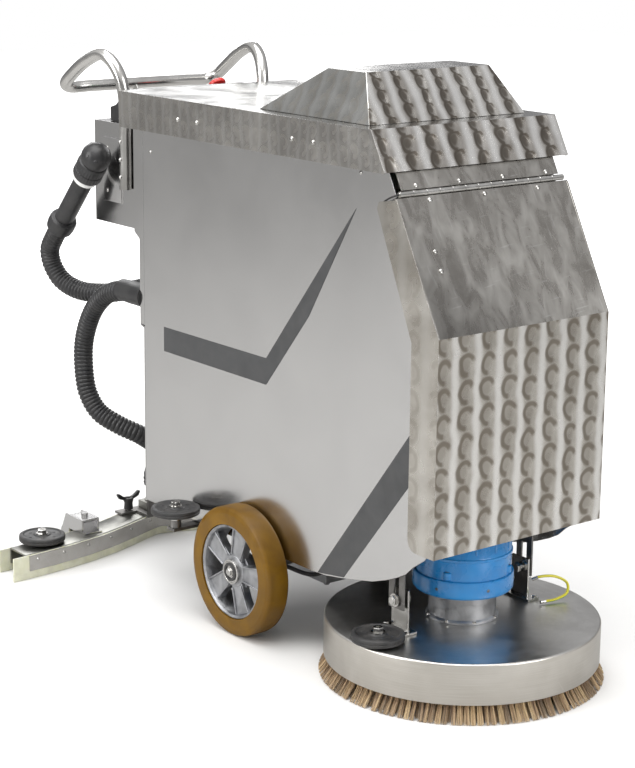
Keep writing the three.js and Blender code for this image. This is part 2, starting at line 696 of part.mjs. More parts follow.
// ---- the machine ----
add('chassis_frame', chassis(), 'darkSteel');
add('side_panel_right', sidePanel(-1), 'steel');
add('side_panel_left', join(sidePanel(1), lidHingeFrame()), 'steel');
add('rear_panel', rearPanel(), 'steel');
add('front_strip', frontStrip(), 'steel');
add('front_door', door(), 'swirl');
add('door_hinge_pin', rod([-190, hinge.y, hinge.z], [190, hinge.y, hinge.z], hinge.radius, 14), 'chrome');
add('top_lid', lid(), 'swirl');
add('lid_hood', hood(), 'swirl');
add('solution_tank', solutionTank(), 'tank');
add('recovery_tank', recoveryTank(), 'tank');
add('battery_front', battery(-232, -20), 'black');
add('battery_rear', battery(-4, 208), 'black');
add('suction_motor', suctionMotor(), 'cast');
add('traction_unit', tractionUnit(), 'cast');
add('wheel_axle', axle(), 'darkSteel');
add('control_box', controlBox(), 'steel');
add('control_cover', controlCover(), 'steel');
add('control_console', console(), 'black');
add('stop_button', stopButton(100), 'red');
add('key_switch', keySwitch(-100), 'chrome');
add('brush_button', panelButton(-40, 9, 8), 'green');
add('vacuum_button', panelButton(20, 9, 8), 'white');
add('handle_bar', handleBar(), 'chrome');

add('deck_shell', deckShell(), 'steel');
add('gearbox_flange', gearboxFlange(), 'cast');
add('brush_motor', brushMotor(), 'blue');
add('brush_hub', brushHub(), 'darkSteel');
add('brush_block', brushBlock(), 'black');
add('bristle_ring', bristleRing(), 'bristle');
add('bumper_roller', rollerDisc(bumperSpot.x, bumperSpot.y, bumperSpot.z), 'rubber');
add('earth_cable', earthCable(), 'earth');

for (const [side, name] of [[-1, 'right'], [1, 'left']]) {
  add(`deck_bracket_${name}`, deckBracket(side), 'darkSteel');
  add(`deck_hanger_${name}`, hanger(side), 'steel');
  add(`tyre_${name}`, tyre(side), 'amber');
  add(`wheel_rim_${name}`, rim(side), 'cast');
  add(`hub_cap_${name}`, hubCap(side), 'chrome');
  for (const [part, spot] of [['side_roller', sideRollerSpot], ['end_roller', endRollerSpot]]) {
    add(`${part}_${name}`, rollerDisc(side * spot.x, spot.y, spot.z), 'rubber');
  }
  add(`wing_knob_${name}`, wingKnob(side), 'black');
  add(`support_bracket_${name}`, supportBracket(side), 'steel');
  add(`support_wheel_${name}`, supportWheel(side), 'rubber');
}

add('squeegee_channel', squeegeeChannel(), 'steel');
add('front_blade', curvedStrip(squeegee.half, 3, 7, 0, 49.6), 'blade');
add('rear_blade', curvedStrip(squeegee.half - 8, channel.front + channel.depth + gap,
  channel.front + channel.depth + 4.5, 0, 48), 'blade');
add('tow_arm', towArm(), 'darkSteel');
add('suction_hose', tube(suctionPath, hoseRadius, 42, 8), 'rubber');
add('drain_hose', tube(drainPath, hoseRadius, 34, 8), 'rubber');
add('drain_pipe', drainPipe(), 'rubber');
add('drain_cap', drainCap(), 'black');

export default machine;
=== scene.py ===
import json
import math
import random

import bmesh
import bpy
from mathutils import Matrix, Vector

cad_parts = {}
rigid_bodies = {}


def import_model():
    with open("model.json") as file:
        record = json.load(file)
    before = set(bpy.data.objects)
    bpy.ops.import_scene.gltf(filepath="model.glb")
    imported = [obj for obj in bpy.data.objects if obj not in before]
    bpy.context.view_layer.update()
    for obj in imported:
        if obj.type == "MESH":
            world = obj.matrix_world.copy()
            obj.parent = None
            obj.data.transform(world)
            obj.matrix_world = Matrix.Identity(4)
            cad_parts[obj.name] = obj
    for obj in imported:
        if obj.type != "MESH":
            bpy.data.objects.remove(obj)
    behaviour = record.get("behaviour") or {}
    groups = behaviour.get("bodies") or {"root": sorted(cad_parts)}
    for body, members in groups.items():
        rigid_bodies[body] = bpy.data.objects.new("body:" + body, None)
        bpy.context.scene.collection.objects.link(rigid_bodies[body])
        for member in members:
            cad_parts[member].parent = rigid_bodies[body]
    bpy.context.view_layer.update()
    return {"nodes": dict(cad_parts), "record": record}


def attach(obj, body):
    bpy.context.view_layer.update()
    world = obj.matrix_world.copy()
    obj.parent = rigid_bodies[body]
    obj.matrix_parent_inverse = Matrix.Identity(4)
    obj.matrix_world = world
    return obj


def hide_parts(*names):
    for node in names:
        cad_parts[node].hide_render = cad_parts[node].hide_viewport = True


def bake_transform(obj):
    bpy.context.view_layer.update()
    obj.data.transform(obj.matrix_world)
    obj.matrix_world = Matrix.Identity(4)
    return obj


for item in list(bpy.data.objects):
    bpy.data.objects.remove(item)

# metres; the machine drives towards -Y, its right hand is -X, the floor is at z = 0
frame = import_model()
nodes = frame["nodes"]
bothSides = ((-1, "right"), (1, "left"))
bodyOf = {node: body for body, members in frame["record"]["behaviour"]["bodies"].items() for node in members}
print("frame loaded,", len(nodes), "nodes")

cameraPlan = {
    "place": (-2.3414, -2.9424, 1.3849),
    "azimuth": -0.66707,
    "elevation": 0.242713,
    "roll": 0.009887,
    "lens": 94.7,
}


def makeCamera(plan):
    azimuth, elevation, roll = plan["azimuth"], plan["elevation"], plan["roll"]
    flat = math.cos(elevation)
    ahead = Vector((-math.sin(azimuth) * flat, math.cos(azimuth) * flat, -math.sin(elevation)))
    across = Vector((math.cos(azimuth), math.sin(azimuth), 0))
    up = across.cross(ahead)
    rolledAcross = across * math.cos(roll) + up * math.sin(roll)
    rolledUp = up * math.cos(roll) - across * math.sin(roll)
    camera = bpy.data.objects.new("camera", bpy.data.cameras.new("camera"))
    camera.data.lens = plan["lens"]
    camera.data.sensor_width = 36
    camera.data.clip_end = 60
    camera.matrix_world = Matrix.Translation(plan["place"]) @ Matrix((rolledAcross, rolledUp,
            -ahead)).transposed().to_4x4()
    bpy.context.scene.collection.objects.link(camera)
    bpy.context.scene.camera = camera


makeCamera(cameraPlan)


# node helpers
def setSocket(tree, socket, value):
    if isinstance(value, bpy.types.NodeSocket):
        tree.links.new(value, socket)
    else:
        socket.default_value = value


def mathNode(tree, operation, *values, clamp=False):
    node = tree.nodes.new("ShaderNodeMath")
    node.operation = operation
    node.use_clamp = clamp
    for socket, value in zip(node.inputs, values):
        setSocket(tree, socket, value)
    return node.outputs[0]


def rangeNode(tree, value, low, high, toLow=0.0, toHigh=1.0):
    node = tree.nodes.new("ShaderNodeMapRange")
    node.interpolation_type = "SMOOTHSTEP"
    for socket, item in zip(node.inputs, (value, low, high, toLow, toHigh)):
        setSocket(tree, socket, item)
    return node.outputs[0]


def mixColour(tree, factor, first, second):
    node = tree.nodes.new("ShaderNodeMix")
    node.data_type = "RGBA"
    for socket, value in zip((node.inputs[0], node.inputs[6], node.inputs[7]), (factor, first, second)):
        if isinstance(value, tuple):
            value = (*value, 1.0)
        setSocket(tree, socket, value)
    return node.outputs[2]


def noiseNode(tree, place, scale, detail=3.0, roughness=0.5, distortion=0.0):
    node = tree.nodes.new("ShaderNodeTexNoise")
    names = {"Vector": place, "Scale": scale, "Detail": detail, "Roughness": roughness, "Distortion": distortion}
    for name, value in names.items():
        setSocket(tree, node.inputs[name], value)
    return node.outputs[0]


def bumpNode(tree, height, strength, distance, under=None):
    node = tree.nodes.new("ShaderNodeBump")
    node.inputs["Strength"].default_value = strength
    node.inputs["Distance"].default_value = distance
    tree.links.new(height, node.inputs["Height"])
    if under:
        tree.links.new(under, node.inputs["Normal"])
    return node.outputs[0]


def scaledPlace(tree, place, scale):
    node = tree.nodes.new("ShaderNodeVectorMath")
    node.operation = "MULTIPLY"
    setSocket(tree, node.inputs[0], place)
    setSocket(tree, node.inputs[1], scale)
    return node.outputs[0]


def objectPlace(tree):
    return tree.nodes.new("ShaderNodeTexCoord").outputs["Object"]


def facePlace(tree, axes):
    parts = tree.nodes.new("ShaderNodeSeparateXYZ")
    tree.links.new(objectPlace(tree), parts.inputs[0])
    joined = tree.nodes.new("ShaderNodeCombineXYZ")
    for socket, axis in zip(joined.inputs, axes):
        tree.links.new(parts.outputs["xyz".index(axis)], socket)
    return joined.outputs[0]


# shared effects
def newGroup(name, inputs, outputs):
    tree = bpy.data.node_groups.new(name, "ShaderNodeTree")
    for label, kind, value in inputs:
        socket = tree.interface.new_socket(name=label, in_out="INPUT", socket_type=kind)
        if value is not None:
            socket.default_value = value
    for label, kind in outputs:
        tree.interface.new_socket(name=label, in_out="OUTPUT", socket_type=kind)
    return tree, tree.nodes.new("NodeGroupInput"), tree.nodes.new("NodeGroupOutput")


def useGroup(tree, group, **values):
    node = tree.nodes.new("ShaderNodeGroup")
    node.node_tree = group
    for name, value in values.items():
        setSocket(tree, node.inputs[name], value)
    return node.outputs


def makeGrain():
    tree, given, made = newGroup(
        "grain", [("Place", "NodeSocketVector", None), ("Stretch", "NodeSocketVector", (900.0, 900.0, 20.0))],
        [("Height", "NodeSocketFloat")])
    stretched = scaledPlace(tree, given.outputs["Place"], given.outputs["Stretch"])
    fine = noiseNode(tree, stretched, 1.0, 4.0, 0.65)
    tree.links.new(fine, made.inputs["Height"])
    return tree


def makeCloud():
    tree, given, made = newGroup(
        "cloud", [("Place", "NodeSocketVector", None), ("Size", "NodeSocketFloat", 6.0),
                  ("Contrast", "NodeSocketFloat", 0.2)],
        [("Mask", "NodeSocketFloat")])
    broad = noiseNode(tree, given.outputs["Place"], given.outputs["Size"], 4.0, 0.55, 0.6)
    low = mathNode(tree, "SUBTRACT", 0.5, given.outputs["Contrast"])
    high = mathNode(tree, "ADD", 0.5, given.outputs["Contrast"])
    tree.links.new(rangeNode(tree, broad, low, high), made.inputs["Mask"])
    return tree


def makeScratches():
    tree, given, made = newGroup(
        "scratches", [("Place", "NodeSocketVector", None), ("Density", "NodeSocketFloat", 0.5)],
        [("Mask", "NodeSocketFloat")])
    total = None
    for turn, stretch in (((0.4, 0.2, 0.9), (260.0, 14.0, 14.0)), ((1.3, 0.8, 0.1), (16.0, 300.0, 20.0))):
        turned = tree.nodes.new("ShaderNodeVectorRotate")
        turned.rotation_type = "EULER_XYZ"
        turned.inputs["Rotation"].default_value = turn
        tree.links.new(given.outputs["Place"], turned.inputs["Vector"])
        lines = noiseNode(tree, scaledPlace(tree, turned.outputs[0], stretch), 1.0, 2.0, 0.5)
        mask = rangeNode(tree, lines, mathNode(tree, "SUBTRACT", 0.78,
                                               mathNode(tree, "MULTIPLY", given.outputs["Density"], 0.16)), 0.8)
        total = mask if total is None else mathNode(tree, "MAXIMUM", total, mask)
    tree.links.new(total, made.inputs["Mask"])
    return tree


def makeDust():
    tree, given, made = newGroup(
        "dust", [("Place", "NodeSocketVector", None), ("Low", "NodeSocketFloat", 0.0), ("High", "NodeSocketFloat", 0.3),
                 ("Amount", "NodeSocketFloat", 0.5)],
        [("Mask", "NodeSocketFloat")])
    parts = tree.nodes.new("ShaderNodeSeparateXYZ")
    tree.links.new(given.outputs["Place"], parts.inputs[0])
    lower = mathNode(tree, "SUBTRACT", 1.0, rangeNode(tree, parts.outputs[2], given.outputs["Low"],
                                                      given.outputs["High"]))
    patches = rangeNode(tree, noiseNode(tree, given.outputs["Place"], 38.0, 5.0, 0.6), 0.35, 0.7)
    spread = mathNode(tree, "MULTIPLY", mathNode(tree, "ADD", mathNode(tree, "MULTIPLY", lower, 0.7), 0.3), patches)
    tree.links.new(mathNode(tree, "MULTIPLY", spread, given.outputs["Amount"], clamp=True), made.inputs["Mask"])
    return tree


def makeTurning():
    tree, given, made = newGroup(
        "turning", [("Place", "NodeSocketVector", None), ("Column", "NodeSocketFloat", 0.05),
                    ("Row", "NodeSocketFloat", 0.045),
                    ("Radius", "NodeSocketFloat", 0.017), ("Fill", "NodeSocketFloat", 0.35)],
        [("Mark", "NodeSocketFloat"), ("HighlightBand", "NodeSocketFloat"), ("Height", "NodeSocketFloat")])
    column, row, radius = (given.outputs[name] for name in ("Column", "Row", "Radius"))
    wander = tree.nodes.new("ShaderNodeTexNoise")
    wander.inputs["Scale"].default_value = 17.0
    tree.links.new(given.outputs["Place"], wander.inputs["Vector"])
    shift = tree.nodes.new("ShaderNodeVectorMath")
    shift.operation = "MULTIPLY_ADD"
    tree.links.new(wander.outputs["Color"], shift.inputs[0])
    shift.inputs[1].default_value = (0.020, 0.016, 0.0)
    tree.links.new(given.outputs["Place"], shift.inputs[2])
    parts = tree.nodes.new("ShaderNodeSeparateXYZ")
    tree.links.new(shift.outputs[0], parts.inputs[0])
    across = mathNode(tree, "DIVIDE", parts.outputs[0], column)
    whole = mathNode(tree, "FLOOR", across)
    chance = tree.nodes.new("ShaderNodeTexWhiteNoise")
    chance.noise_dimensions = "1D"
    tree.links.new(whole, chance.inputs["W"])
    raised = mathNode(tree, "MULTIPLY", chance.outputs["Value"], 0.45)
    upward = mathNode(tree, "ADD", mathNode(tree, "DIVIDE", parts.outputs[1], row), raised)
    fromMiddle = mathNode(tree, "SUBTRACT", mathNode(tree, "FRACT", across), 0.5)
    dx = mathNode(tree, "MULTIPLY", fromMiddle, column)
    dy = mathNode(tree, "MULTIPLY", mathNode(tree, "SUBTRACT", mathNode(tree, "FRACT", upward), 0.5), mathNode(tree,
            "MULTIPLY", row, 0.82))
    distance = mathNode(tree, "SQRT", mathNode(tree, "ADD", mathNode(tree, "MULTIPLY", dx, dx),
                                               mathNode(tree, "MULTIPLY", dy, dy)))
    part = mathNode(tree, "DIVIDE", distance, radius)
    ring = mathNode(tree, "SUBTRACT", 1.0, rangeNode(tree,
                                                     mathNode(tree, "ABSOLUTE", mathNode(tree, "SUBTRACT", part, 0.72)),
                                                     0.08, 0.36))
    lean = mathNode(tree, "DIVIDE", mathNode(tree, "SUBTRACT", dx, mathNode(tree, "MULTIPLY", dy, 0.55)), mathNode(tree,
            "ADD", distance, 0.0005))
    opening = mathNode(tree, "SUBTRACT", 1.0, rangeNode(tree, lean, 0.35, 0.95))
    curl = mathNode(tree, "SUBTRACT", 1.0, rangeNode(tree,
                                                     mathNode(tree, "ADD", part, mathNode(tree, "MULTIPLY", lean,
                                                             0.22)), 0.25, 0.85))
    # the engine-turned swirl pattern; its dark crescent colour is painted reflection shade
    mark = mathNode(tree, "MAXIMUM", mathNode(tree, "MULTIPLY", ring, opening), mathNode(tree, "MULTIPLY", curl,
            given.outputs["Fill"]))
    # bright stripes along the column borders, used only as a painted highlight on the turned steel
    band = rangeNode(tree, mathNode(tree, "ABSOLUTE", fromMiddle), 0.22, 0.47)
    grooves = mathNode(tree, "SINE", mathNode(tree, "MULTIPLY", distance, 2600.0))
    dish = rangeNode(tree, part, 0.0, 1.15)
    height = mathNode(tree, "ADD", dish, mathNode(tree, "MULTIPLY", grooves, 0.03))
    for name, value in (("Mark", mark), ("HighlightBand", band), ("Height", height)):
        tree.links.new(value, made.inputs[name])
    return tree


grain, cloud, scratches, dust, turning = makeGrain(), makeCloud(), makeScratches(), makeDust(), makeTurning()


# finishes
def shader(name, **values):
    material = bpy.data.materials.new(name)
    material.use_nodes = True
    tree = material.node_tree
    surface = tree.nodes["Principled BSDF"]
    for label, value in values.items():
        setSocket(tree, surface.inputs[label.replace("_", " ")], value)
    return material, tree, surface


def steelFinish(name, plan):
    material, tree, surface = shader(name, Metallic=plan.get("metal", 1.0))
    place = objectPlace(tree)
    lines = useGroup(tree, grain, Place=place, Stretch=plan["stretch"])["Height"]
    smear = useGroup(tree, cloud, Place=scaledPlace(tree, place, plan.get("smearStretch", (1.0, 1.0, 1.0))),
                     Size=plan["smear"], Contrast=plan["contrast"])["Mask"]
    marks = useGroup(tree, scratches, Place=place, Density=plan["scratches"])["Mask"]
    tone = mixColour(tree, smear, plan["dark"], plan["light"])
    tree.links.new(mixColour(tree, mathNode(tree, "MULTIPLY", marks, 0.35), tone, plan["scratched"]),
                   surface.inputs["Base Color"])
    low, high = plan["roughness"]
    gloss = mathNode(tree, "ADD", rangeNode(tree, smear, 0.0, 1.0, low, high), mathNode(tree, "MULTIPLY", lines,
            plan["lineRough"]))
    tree.links.new(gloss, surface.inputs["Roughness"])
    tree.links.new(bumpNode(tree, lines, plan["lineBump"], 0.0004, bumpNode(tree, smear, plan["wave"], 0.004)),
                   surface.inputs["Normal"])
    return material


steelPlan = {
    "dark": (0.60, 0.595, 0.592), "light": (0.64, 0.634, 0.630), "scratched": (0.69, 0.685, 0.68), "roughness": (0.16,
            0.20),
    "stretch": (900.0, 26.0, 900.0), "smear": 5.0, "contrast": 0.22, "scratches": 0.25, "lineRough": 0.04,
    "lineBump": 0.05,
    "wave": 0.008,
}
satinSteel = steelFinish("satin_steel", steelPlan)
plateSteel = steelFinish("plate_steel", {**steelPlan, "dark": (0.50, 0.485, 0.46), "light": (0.63, 0.615, 0.59),
                                         "smear": 18.0, "scratches": 0.7, "wave": 0.05})
brightSteel = steelFinish("bright_steel", {**steelPlan, "dark": (0.50, 0.49, 0.47), "light": (0.66, 0.65, 0.63),
                                           "roughness": (0.13, 0.22), "smear": 30.0, "lineBump": 0.05})
darkSteel = steelFinish("dark_steel", {**steelPlan, "dark": (0.16, 0.155, 0.15), "light": (0.30, 0.29, 0.28),
                                       "roughness": (0.38, 0.55), "smear": 26.0, "scratches": 0.6, "wave": 0.1})
lidSteel = steelFinish("lid_steel", {**steelPlan, "dark": (0.50, 0.495, 0.48), "light": (0.60, 0.593, 0.58),
                                     "roughness": (0.14, 0.24), "smear": 9.0, "wave": 0.04, "scratches": 0.4})
cloudySteel = steelFinish("cloudy_steel", {**steelPlan, "dark": (0.25, 0.235, 0.215), "light": (0.45, 0.435, 0.41),
                                           "roughness": (0.23, 0.31), "stretch": (700.0, 90.0, 60.0), "smear": 19.0,
                                           "smearStretch": (2.0, 0.9, 0.9), "contrast": 0.30, "scratches": 0.9,
                                           "lineBump": 0.20, "wave": 0.03})
tubeSteel = steelFinish("tube_steel", {**steelPlan, "dark": (0.56, 0.55, 0.53), "light": (0.68, 0.67, 0.65),
                                       "roughness": (0.12, 0.20), "stretch": (300.0, 300.0, 900.0), "smear": 14.0,
                                       "lineBump": 0.06, "scratches": 0.2})
channelSteel = steelFinish("channel_steel", {**steelPlan, "dark": (0.24, 0.24, 0.22), "light": (0.40, 0.395, 0.365),
                                             "roughness": (0.26, 0.38), "smear": 16.0, "scratches": 0.7, "wave": 0.05})
castMetal = steelFinish("cast_metal", {**steelPlan, "dark": (0.32, 0.325, 0.34), "light": (0.50, 0.505, 0.52),
                                       "roughness": (0.38, 0.55), "stretch": (420.0, 420.0, 420.0), "smear": 40.0,
                                       "lineBump": 0.45, "wave": 0.2, "scratches": 0.4})


def turnedFinish(name, plan):
    material, tree, surface = shader(name, Metallic=1.0)
    place = objectPlace(tree)
    spots = useGroup(tree, turning, Place=facePlace(tree, plan["axes"]), Column=plan["column"], Row=plan["row"],
                     Radius=plan["radius"], Fill=plan["fill"])
    smear = useGroup(tree, cloud, Place=place, Size=11.0, Contrast=0.25)["Mask"]
    lines = useGroup(tree, grain, Place=place, Stretch=(500.0, 500.0, 500.0))["Height"]
    ground = mixColour(tree, smear, plan["dark"], plan["light"])
    # painted highlight: the bright bands between the turned columns
    shown = mixColour(tree, mathNode(tree, "MULTIPLY", spots["HighlightBand"], plan["bandHighlightShare"]), ground, plan["bandHighlightTone"])
    # the turning marks are real; their dark crescent tone is painted reflection shade
    tree.links.new(mixColour(tree, mathNode(tree, "MULTIPLY", spots["Mark"], plan["markReflectionShare"]), shown,
                             plan["markReflectionTone"]), surface.inputs["Base Color"])
    tree.links.new(mathNode(tree, "ADD", rangeNode(tree, smear, 0.0, 1.0, 0.20, 0.28), mathNode(tree, "MULTIPLY",
            spots["Mark"], 0.12)), surface.inputs["Roughness"])
    fine = bumpNode(tree, lines, 0.08, 0.0003)
    tree.links.new(bumpNode(tree, spots["Height"], plan["depth"], 0.0014, fine), surface.inputs["Normal"])
    return material


# the turned pattern is real; its bright bands are painted highlights and its dark marks are painted reflection shade
turnedPlan = {
    "axes": "xz", "column": 0.0495, "row": 0.046, "radius": 0.0195, "dark": (0.41, 0.385, 0.345), "light": (0.60, 0.575,
            0.53),
    "bandHighlightTone": (0.90, 0.89, 0.87), "bandHighlightShare": 0.80, "markReflectionTone": (0.20, 0.172, 0.138), "markReflectionShare": 0.85,
    "depth": 0.55, "fill": 0.40,
}
doorTurned = turnedFinish("door_turned", turnedPlan)
doorEdgeTurned = turnedFinish("door_edge_turned", {**turnedPlan, "axes": "yz", "column": 0.062, "row": 0.05,
                                                   "markReflectionShare": 0.28, "bandHighlightShare": 0.15, "depth": 0.12})
lipTurned = turnedFinish("lip_turned", {**turnedPlan, "column": 0.053, "row": 0.030, "radius": 0.0165, "fill": 0.95,
                                        "dark": (0.36, 0.335, 0.305), "light": (0.64, 0.615, 0.58), "markReflectionTone": (0.095,
                                                0.080, 0.063), "markReflectionShare": 0.90, "depth": 0.95})
hoodTurned = turnedFinish("hood_turned", {**turnedPlan, "column": 0.046, "row": 0.0215, "radius": 0.0125, "fill": 0.95,
                                          "dark": (0.36, 0.335, 0.305), "light": (0.62, 0.60, 0.565),
                                          "markReflectionTone": (0.095, 0.080, 0.063), "markReflectionShare": 0.90, "depth": 0.95})
# darker copy of the hood's turned steel: painted shade on the hood's side faces
hoodSideShadeTurned = turnedFinish("hood_side_shade_turned", {**turnedPlan, "axes": "yz", "column": 0.040, "row": 0.030,
                                                   "radius": 0.015, "dark": (0.26, 0.26, 0.25), "light": (0.36, 0.36,
                                                           0.35), "bandHighlightTone": (0.5, 0.5, 0.49), "bandHighlightShare": 0.3,
                                                                   "markReflectionShare": 0.35, "depth": 0.3})
flangeTurned = turnedFinish("flange_turned", {**turnedPlan, "axes": "yz", "column": 0.028, "row": 0.035,
                                              "radius": 0.012, "dark": (0.40, 0.385, 0.365), "light": (0.50, 0.485,
                                                      0.46), "bandHighlightShare": 0.2, "markReflectionShare": 0.22, "depth": 0.15})


def mouldedFinish(name, plan):
    material, tree, surface = shader(name, Coat_Weight=plan.get("coat", 0.0), Coat_Roughness=plan.get("coatRough", 0.1),
                                     Metallic=0.0)
    place = objectPlace(tree)
    mottle = useGroup(tree, cloud, Place=place, Size=plan.get("mottle", 30.0), Contrast=0.3)["Mask"]
    pores = useGroup(tree, grain, Place=place, Stretch=plan.get("pores", (700.0, 700.0, 700.0)))["Height"]
    dirt = useGroup(tree, dust, Place=place, Low=plan.get("low", 0.0), High=plan.get("high", 0.25),
                    Amount=plan.get("dust", 0.2))["Mask"]
    tone = mixColour(tree, mottle, plan["dark"], plan["light"])
    tree.links.new(mixColour(tree, dirt, tone, plan.get("dustTone", (0.30, 0.27, 0.23))), surface.inputs["Base Color"])
    low, high = plan["roughness"]
    tree.links.new(mathNode(tree, "ADD", rangeNode(tree, mottle, 0.0, 1.0, low, high), mathNode(tree, "MULTIPLY", dirt,
            0.3)), surface.inputs["Roughness"])
    tree.links.new(bumpNode(tree, pores, plan.get("bump", 0.15), 0.0004), surface.inputs["Normal"])
    for label, value in plan.get("extra", {}).items():
        surface.inputs[label].default_value = value
    return material


hoseBlack = mouldedFinish("hose_black", {"dark": (0.012, 0.012, 0.013), "light": (0.028, 0.028, 0.030),
                                         "roughness": (0.32, 0.46), "dust": 0.12, "bump": 0.12})
rubberBlack = mouldedFinish("rubber_black", {"dark": (0.018, 0.018, 0.019), "light": (0.030, 0.030, 0.031),
                                             "roughness": (0.38, 0.52), "dust": 0.10, "high": 0.4, "bump": 0.20})
plasticBlack = mouldedFinish("plastic_black", {"dark": (0.014, 0.014, 0.015), "light": (0.026, 0.026, 0.028),
                                               "roughness": (0.30, 0.42), "dust": 0.10, "bump": 0.3, "coat": 0.1})
motorBlue = mouldedFinish("motor_blue", {"dark": (0.005, 0.185, 0.50), "light": (0.008, 0.24, 0.60),
                                         "roughness": (0.24, 0.34), "mottle": 22.0, "dust": 0.10, "high": 0.35,
                                         "bump": 0.22, "pores": (160.0, 160.0, 160.0), "coat": 0.5, "coatRough": 0.12})
tyreAmber = mouldedFinish("tyre_amber", {"dark": (0.120, 0.056, 0.0012), "light": (0.200, 0.100, 0.0020),
                                         "roughness": (0.36, 0.48), "mottle": 16.0, "dust": 0.30, "high": 0.20,
                                         "dustTone": (0.105, 0.066, 0.028), "bump": 0.25, "pores": (120.0, 120.0,
                                                 120.0), "coat": 0.12, "coatRough": 0.20,
                                                 "extra": {"Specular IOR Level": 0.22}})
bladeRubber = mouldedFinish("blade_rubber", {"dark": (0.62, 0.62, 0.46), "light": (0.77, 0.77, 0.62),
                                             "roughness": (0.28, 0.42), "dust": 0.25, "high": 0.03, "bump": 0.08,
                                             "extra": {"Subsurface Weight": 0.35, "Subsurface Radius": (0.010, 0.010,
                                                     0.004)}})
tankWhite = mouldedFinish("tank_white", {"dark": (0.66, 0.66, 0.61), "light": (0.76, 0.76, 0.72),
                                         "roughness": (0.38, 0.50), "dust": 0.1, "high": 0.6, "bump": 0.1,
                                         "extra": {"Subsurface Weight": 0.2, "Subsurface Radius": (0.02, 0.02, 0.018)}})
batteryGrey = mouldedFinish("battery_grey", {"dark": (0.022, 0.022, 0.024), "light": (0.045, 0.045, 0.048),
                                             "roughness": (0.42, 0.55), "dust": 0.35, "high": 0.6, "bump": 0.4,
                                             "pores": (300.0, 300.0, 300.0)})
lensRed = mouldedFinish("button_red", {"dark": (0.52, 0.014, 0.012), "light": (0.62, 0.024, 0.018),
                                       "roughness": (0.20, 0.30), "dust": 0.05, "bump": 0.05, "coat": 0.4})
lensGreen = mouldedFinish("button_green", {"dark": (0.012, 0.24, 0.045), "light": (0.02, 0.33, 0.07),
                                           "roughness": (0.20, 0.30), "dust": 0.05, "bump": 0.05, "coat": 0.4})
lensWhite = mouldedFinish("plastic_white", {"dark": (0.72, 0.72, 0.70), "light": (0.84, 0.84, 0.82),
                                            "roughness": (0.24, 0.34), "dust": 0.05, "bump": 0.05, "coat": 0.3})
filmGrey = mouldedFinish("film_grey", {"dark": (0.040, 0.041, 0.043), "light": (0.058, 0.059, 0.061),
                                       "roughness": (0.34, 0.42), "dust": 0.06, "bump": 0.04})


def ringGrainFinish(name, centre, plan):
    material, tree, surface = shader(name, Metallic=1.0)
    move = tree.nodes.new("ShaderNodeVectorMath")
    move.operation = "SUBTRACT"
    tree.links.new(objectPlace(tree), move.inputs[0])
    move.inputs[1].default_value = centre
    parts = tree.nodes.new("ShaderNodeSeparateXYZ")
    tree.links.new(move.outputs[0], parts.inputs[0])
    x, y, z = parts.outputs
    radius = mathNode(tree, "SQRT", mathNode(tree, "ADD", mathNode(tree, "MULTIPLY", x, x),
                                             mathNode(tree, "MULTIPLY", y, y)))
    around = mathNode(tree, "ABSOLUTE", mathNode(tree, "ARCTAN2", y, x))
    joined = tree.nodes.new("ShaderNodeCombineXYZ")
    for socket, value in zip(joined.inputs, (radius, mathNode(tree, "MULTIPLY", around, 0.25), z)):
        tree.links.new(value, socket)
    lines = useGroup(tree, grain, Place=joined.outputs[0], Stretch=plan["stretch"])["Height"]
    smear = useGroup(tree, cloud, Place=objectPlace(tree), Size=plan["smear"], Contrast=0.25)["Mask"]
    marks = useGroup(tree, scratches, Place=objectPlace(tree), Density=plan["scratches"])["Mask"]
    tone = mixColour(tree, smear, plan["dark"], plan["light"])
    tone = mixColour(tree, mathNode(tree, "MULTIPLY", rangeNode(tree, lines, 0.4, 0.7), 0.35), tone, plan["lineTone"])
    tree.links.new(mixColour(tree, mathNode(tree, "MULTIPLY", marks, 0.3), tone, plan["lineTone"]),
                   surface.inputs["Base Color"])
    low, high = plan["roughness"]
    tree.links.new(mathNode(tree, "ADD", rangeNode(tree, smear, 0.0, 1.0, low, high), mathNode(tree, "MULTIPLY", lines,
            0.06)), surface.inputs["Roughness"])
    tree.links.new(bumpNode(tree, lines, plan["bump"], 0.0003), surface.inputs["Normal"])
    return material


deckCentre = (0.0, -0.398, 0.0)
deckSideSteel = ringGrainFinish("deck_side_steel", deckCentre, {"dark": (0.56, 0.53, 0.48), "light": (0.68, 0.65, 0.60),
        "lineTone": (0.78, 0.76, 0.72), "roughness": (0.26, 0.34), "stretch": (900.0, 8.0, 900.0), "smear": 7.0,
        "scratches": 0.3, "bump": 0.12})
deckTopSteel = ringGrainFinish("deck_top_steel", deckCentre, {"dark": (0.50, 0.49, 0.47), "light": (0.64, 0.63, 0.61),
        "lineTone": (0.70, 0.69, 0.67), "roughness": (0.26, 0.34), "stretch": (60.0, 30.0, 60.0), "smear": 8.0,
        "scratches": 0.5, "bump": 0.05})


